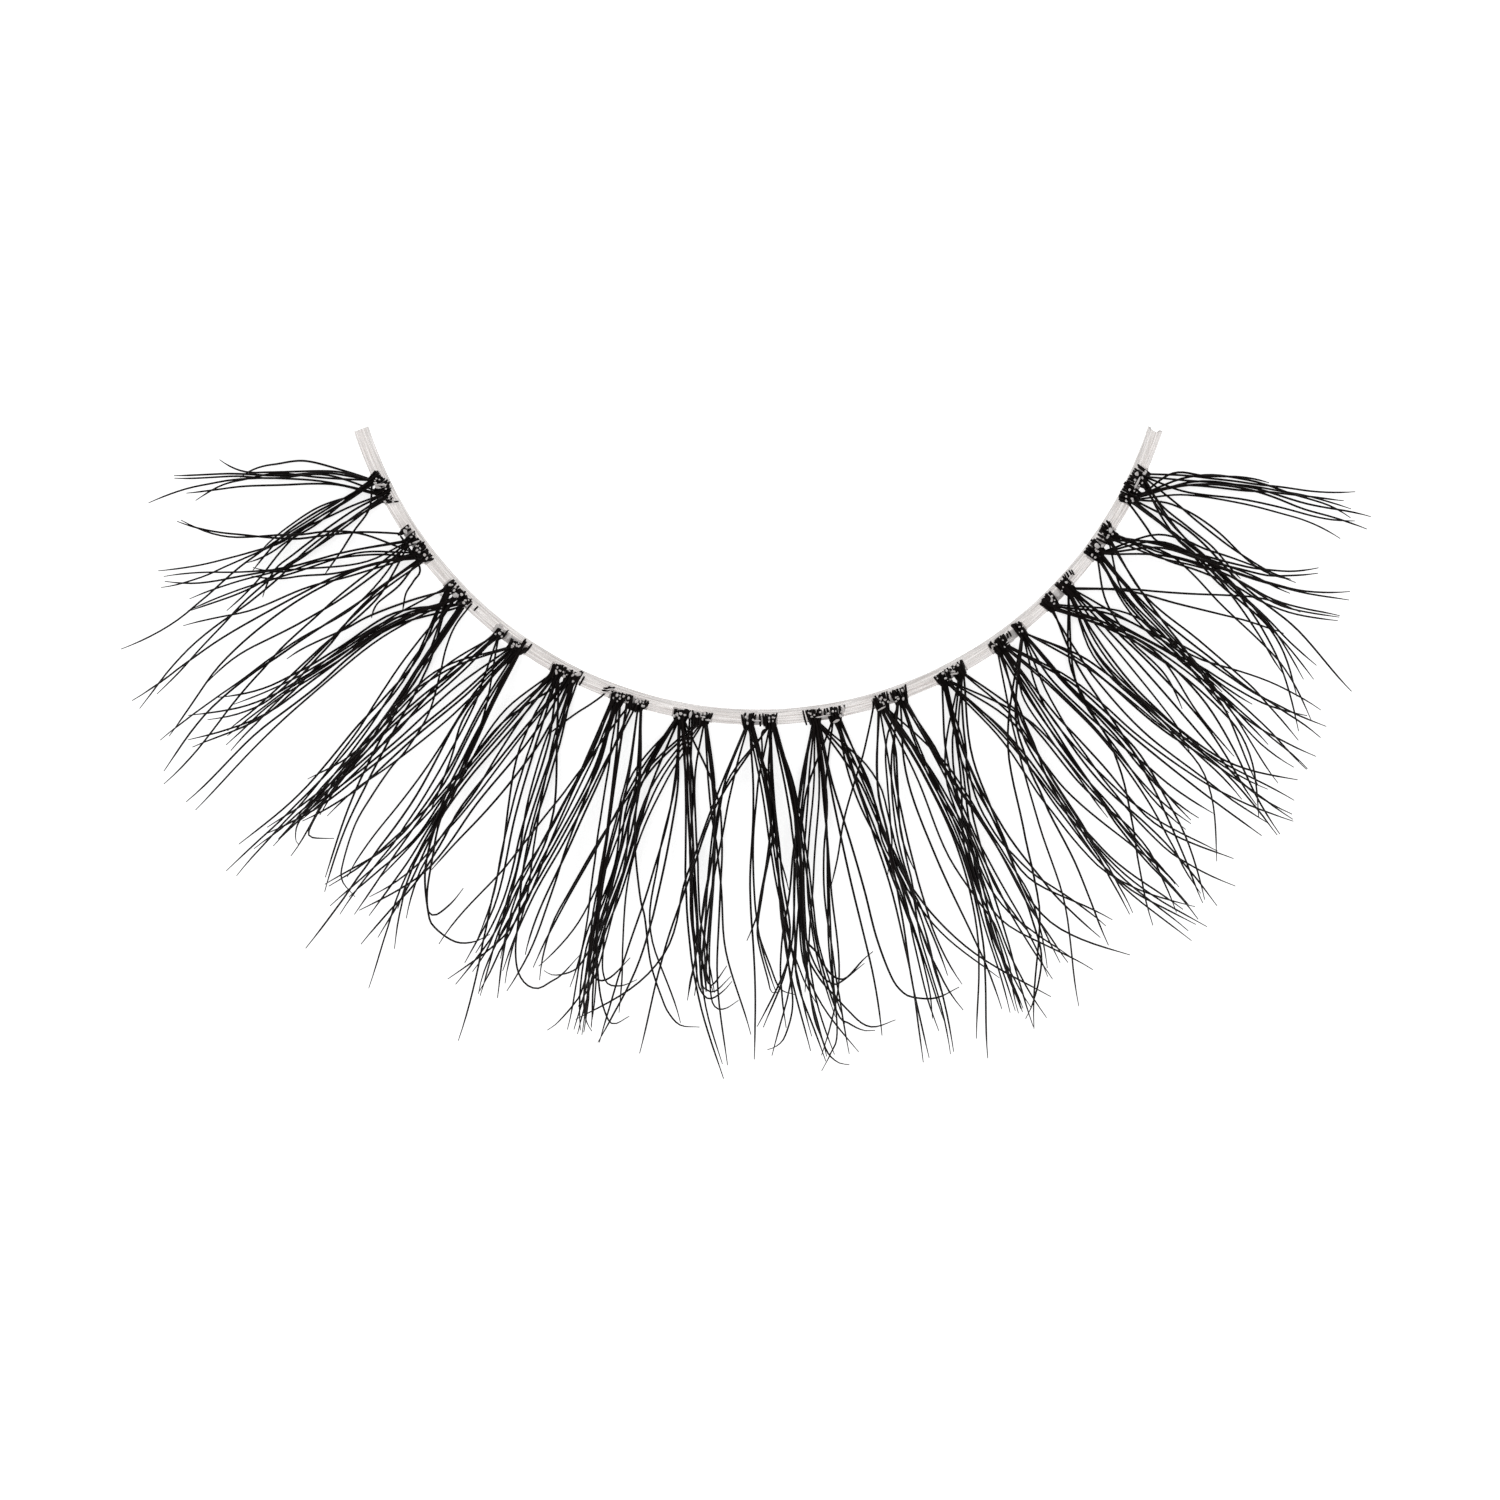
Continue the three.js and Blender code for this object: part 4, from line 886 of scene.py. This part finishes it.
def band_material():
    """Milky clear film. Its colour changes across it, by the distance from the arc's centre, in
    lines of painted highlight and shade from its rib and grooves, and fine streaks run along it."""
    values = {"Coat_Weight": 0.15, "Alpha": 0.34}
    material, tree, shader = node_material("clear_band", (0.55, 0.5, 0.47), **values)
    vector = "ShaderNodeVectorMath"
    place = tree.nodes.new("ShaderNodeTexCoord").outputs["Object"]
    centre = (ARC_CENTRE[0] * MM, ARC_CENTRE[1] * MM, 0)
    centred = math_node(tree, vector, "SUBTRACT", place, centre).outputs["Vector"]
    flat = math_node(tree, vector, "MULTIPLY", centred, (1, 1, 0)).outputs["Vector"]
    length = tree.nodes.new(vector)
    length.operation = "LENGTH"
    tree.links.new(flat, length.inputs[0])
    distance = length.outputs["Value"]
    sides = tree.nodes.new("ShaderNodeSeparateXYZ")
    tree.links.new(flat, sides.inputs["Vector"])
    axes = (sides.outputs["X"], sides.outputs["Y"])
    turn = math_node(tree, "ShaderNodeMath", "ARCTAN2", *axes).outputs["Value"]
    inner = (BAND_RADIUS - BAND_WIDTH / 2) * MM
    outer = (BAND_RADIUS + BAND_WIDTH / 2) * MM
    # The ramp paints lighter and darker lines across the film: highlight and shade of its rib and
    # grooves, over its milky tint.
    ramp = tree.nodes.new("ShaderNodeValToRGB")
    ramp.color_ramp.interpolation = "B_SPLINE"
    elements = ramp.color_ramp.elements
    for position, colour in BAND_TINT_AND_PAINTED_LINES[2:]:
        elements.new(position)
    for element, (position, colour) in zip(elements, BAND_TINT_AND_PAINTED_LINES):
        element.position = position
        element.color = (*colour, 1)
    tree.links.new(mapped(tree, distance, 0, 1, inner, outer), ramp.inputs["Fac"])
    drawn = tree.nodes.new("ShaderNodeCombineXYZ")
    tree.links.new(mapped(tree, distance, 0, 11, inner, outer), drawn.inputs["X"])
    tree.links.new(mapped(tree, turn, 0, 9, 0, 1, clamp=False), drawn.inputs["Y"])
    streaks = noise(tree, 1, 3, drawn.outputs["Vector"])
    tone = colour_mix(tree, mapped(tree, streaks, 0, 1), (0.72, 0.68, 0.66), (1, 1, 1))
    mix = tree.nodes.new("ShaderNodeMix")
    mix.data_type = "RGBA"
    mix.blend_type = "MULTIPLY"
    mix.inputs[0].default_value = 1
    tree.links.new(ramp.outputs["Color"], mix.inputs[6])
    tree.links.new(tone, mix.inputs[7])
    tree.links.new(mix.outputs[2], shader.inputs["Base Color"])
    tree.links.new(mapped(tree, streaks, 0.43, 0.2), shader.inputs["Alpha"])
    tree.links.new(mapped(tree, noise(tree, 2600, 4), 0.22, 0.42), shader.inputs["Roughness"])
    add_bump(tree, shader, streaks, 0.00001, 0.5)
    return material


def floor_material():
    """A white sweep, lit from below as well, so that the lashes throw hardly any shadow on it."""
    colours = ((0.875, 0.875, 0.878), (0.89, 0.89, 0.89))
    values = {"Roughness": 0.9, "Specular_IOR_Level": 0.1, "Emission_Strength": 0.7}
    material, tree, shader = node_material("pale_floor", colours[0], **values)
    shader.inputs["Emission Color"].default_value = (1, 1, 1, 1)
    colour = colour_mix(tree, mapped(tree, noise(tree, 60, 3), 0, 1), *colours)
    tree.links.new(colour, shader.inputs["Base Color"])
    return material


def make_band():
    """The film, swept along its arc with rounded edges, a raised rib along its inner edge and a
    faint ridge down its middle. Its left end is cut square and its right end has a notch."""
    rng = np.random.default_rng(5)
    along = np.linspace(0, 1, BAND_STATIONS)
    waves = rng.normal(0, EDGE_WANDER, EDGE_WAVES + 1)
    wander = np.interp(along * EDGE_WAVES, np.arange(EDGE_WAVES + 1), waves)
    waves = rng.normal(1, THICKNESS_WANDER, THICKNESS_WAVES + 1)
    thick = np.interp(along * THICKNESS_WAVES, np.arange(THICKNESS_WAVES + 1), waves)
    verts = []
    for station in range(BAND_STATIONS):
        for share, height in BAND_SECTION:
            reach = (share - 0.5) * BAND_WIDTH
            bite = math.sqrt(max(0, NOTCH_RADIUS**2 - (reach + NOTCH_OFFSET) ** 2))
            right = BAND_HALF_ANGLE - math.degrees(bite / BAND_RADIUS)
            left = -BAND_HALF_ANGLE + math.degrees(LEFT_END_LEAN * share / BAND_RADIUS)
            angle = left + (right - left) * station / (BAND_STATIONS - 1)
            edge = wander[station] if share in (0, 1) else 0
            swell = thick[station] if height > FOOT_HEIGHT else 1
            verts.append([*plan(angle, reach + edge), height * swell])
    sides = len(BAND_SECTION)
    faces = []
    for station in range(BAND_STATIONS - 1):
        for side in range(sides):
            here = station * sides + side
            beside = station * sides + (side + 1) % sides
            faces.append([here, here + sides, beside + sides, beside])
    faces.append(list(range(sides)))
    faces.append([(BAND_STATIONS - 1) * sides + side for side in reversed(range(sides))])
    shape = Shape()
    shape.add(verts, faces)
    shape.piece("band_film", band_material(), "clear_band", "band")


def make_lashes():
    straight = []
    hooked = []
    for index in range(1, CLUSTER_COUNT + 1):
        rng = np.random.default_rng(100 + index)
        roots = spread_roots(LASHES[index], KNOTS[index], rng)
        for number, row in enumerate(LASHES[index]):
            own = [roots[number, place] for place in range(row[-1])]
            straight.extend(bundle(index, row, own, rng))
        for cluster, points in STRAYS:
            if cluster == index:
                angles, shares = np.array(points, float).T
                route = plan(cluster_angle(index) + angles, shares * LASH_REACH)
                route = smooth_route(route, HOOK_STATIONS)
                hooked.append(Fibre(index, route, rng, HOOK_TAPER_START))
    keep_apart(straight)
    material = lash_material()
    for index in range(1, CLUSTER_COUNT + 1):
        shape = Shape()
        for fibre in straight + hooked:
            if fibre.cluster == index:
                fibre.add_to(shape)
        add_roots(shape, index, np.random.default_rng(200 + index))
        number = f"{index:02d}"
        shape.piece(f"lashes_{number}", material, "lash_fibre", f"lash_cluster_{number}")


def make_glue():
    """The dark glue in the necks of each cluster's knots, and the clear glue on and between
    them."""
    dark = Shape()
    clear = Shape()
    for index in range(1, CLUSTER_COUNT + 1):
        rng = np.random.default_rng(300 + index)
        centre = cluster_angle(index)
        knots = KNOTS[index]
        for left, right, *_ in knots:
            middle = (left + right) / 2
            half = (right - left) / 2 * NECK_SHARE
            span = (centre + middle - half, centre + middle + half)
            verts, faces = dome(*span, DARK_REACH, BAND_THICKNESS, DARK_CROWN, DARK_LUMPS, rng)
            dark.add(verts, faces, rng.uniform(0, 1))
            for _ in range(round((right - left) * DROPS_PER_DEGREE)):
                size = rng.uniform(*DROP_SIZE)
                sizes = (size * rng.uniform(1, 1.6), size, size * 0.7)
                angle = centre + rng.uniform(left, right)
                out = rng.uniform(*DROP_REACH)
                height = rng.uniform(*DROP_HEIGHT)
                clear.add(*drop(angle, out, height, sizes, rng.uniform(0, 180), rng))
        for angle, out, length, width, turn in GLUE_GLINT_SPOTS[index]:
            sizes = (length, width, SPOT_THICKNESS)
            clear.add(*drop(centre + angle, out, SPOT_HEIGHT, sizes, turn, rng))
        left = centre + knots[0][0] - CLEAR_MARGIN
        right = centre + knots[-1][1] + CLEAR_MARGIN
        clear.add(*dome(left, right, CLEAR_REACH, CLEAR_BASE, CLEAR_CROWN, CLEAR_LUMPS, rng))
    dark.piece("root_glue", knot_material(), "lash_fibre")
    clear.piece("clear_glue", glue_glint_material(), "clear_band")


def make_floor():
    """A wide round floor whose rim curves up, so that no horizon shows behind the strip."""
    verts = [(0, 0, -FLOOR_DROP)]
    for slant in np.linspace(0, math.pi / 2, FLOOR_RINGS):
        radius = FLOOR_RADIUS + FLOOR_RISE * math.sin(slant)
        height = FLOOR_RISE * (1 - math.cos(slant)) - FLOOR_DROP
        for side in range(FLOOR_SIDES):
            turn = 2 * math.pi * side / FLOOR_SIDES
            verts.append((radius * math.cos(turn), radius * math.sin(turn), height))
    faces = [(0, 1 + side, 1 + (side + 1) % FLOOR_SIDES) for side in range(FLOOR_SIDES)]
    for ring in range(FLOOR_RINGS - 1):
        for side in range(FLOOR_SIDES):
            here = 1 + ring * FLOOR_SIDES + side
            after = 1 + ring * FLOOR_SIDES + (side + 1) % FLOOR_SIDES
            faces.append((here, here + FLOOR_SIDES, after + FLOOR_SIDES, after))
    mesh = bpy.data.meshes.new("floor")
    mesh.from_pydata(verts, [], faces)
    mesh.polygons.foreach_set("use_smooth", [True] * len(mesh.polygons))
    mesh.materials.append(floor_material())
    floor = bpy.data.objects.new("floor", mesh)
    bpy.context.scene.collection.objects.link(floor)


def area_light(name, place, size, power):
    """A round lamp that shines at the strip's middle."""
    light = bpy.data.lights.new(name, "AREA")
    light.shape = "DISK"
    light.size = size
    light.energy = power
    lamp = bpy.data.objects.new(name, light)
    bpy.context.scene.collection.objects.link(lamp)
    lamp.location = place
    lamp.rotation_mode = "QUATERNION"
    lamp.rotation_quaternion = Vector(place).to_track_quat("Z", "Y")


def make_light():
    world = bpy.data.worlds.new("studio")
    bpy.context.scene.world = world
    world.use_nodes = True
    sky = world.node_tree.nodes["Background"]
    sky.inputs["Color"].default_value = (1, 1, 1, 1)
    sky.inputs["Strength"].default_value = SKY_STRENGTH
    area_light("key", (-0.25, 0.2, 0.55), 0.35, 0.5)
    area_light("fill", (0.3, -0.25, 0.5), 0.5, 0.3)


def make_camera():
    data = bpy.data.cameras.new("camera")
    data.lens = CAMERA_LENS
    data.sensor_width = CAMERA_SENSOR
    data.clip_start = 0.005
    data.clip_end = 10
    camera = bpy.data.objects.new("camera", data)
    bpy.context.scene.collection.objects.link(camera)
    camera.location = (CAMERA_PLAN[0] * MM, CAMERA_PLAN[1] * MM, CAMERA_HEIGHT * MM)
    bpy.context.scene.camera = camera


make_camera()
make_band()
make_lashes()
make_glue()
make_floor()
make_light()
bpy.context.scene.view_settings.view_transform = "Standard"
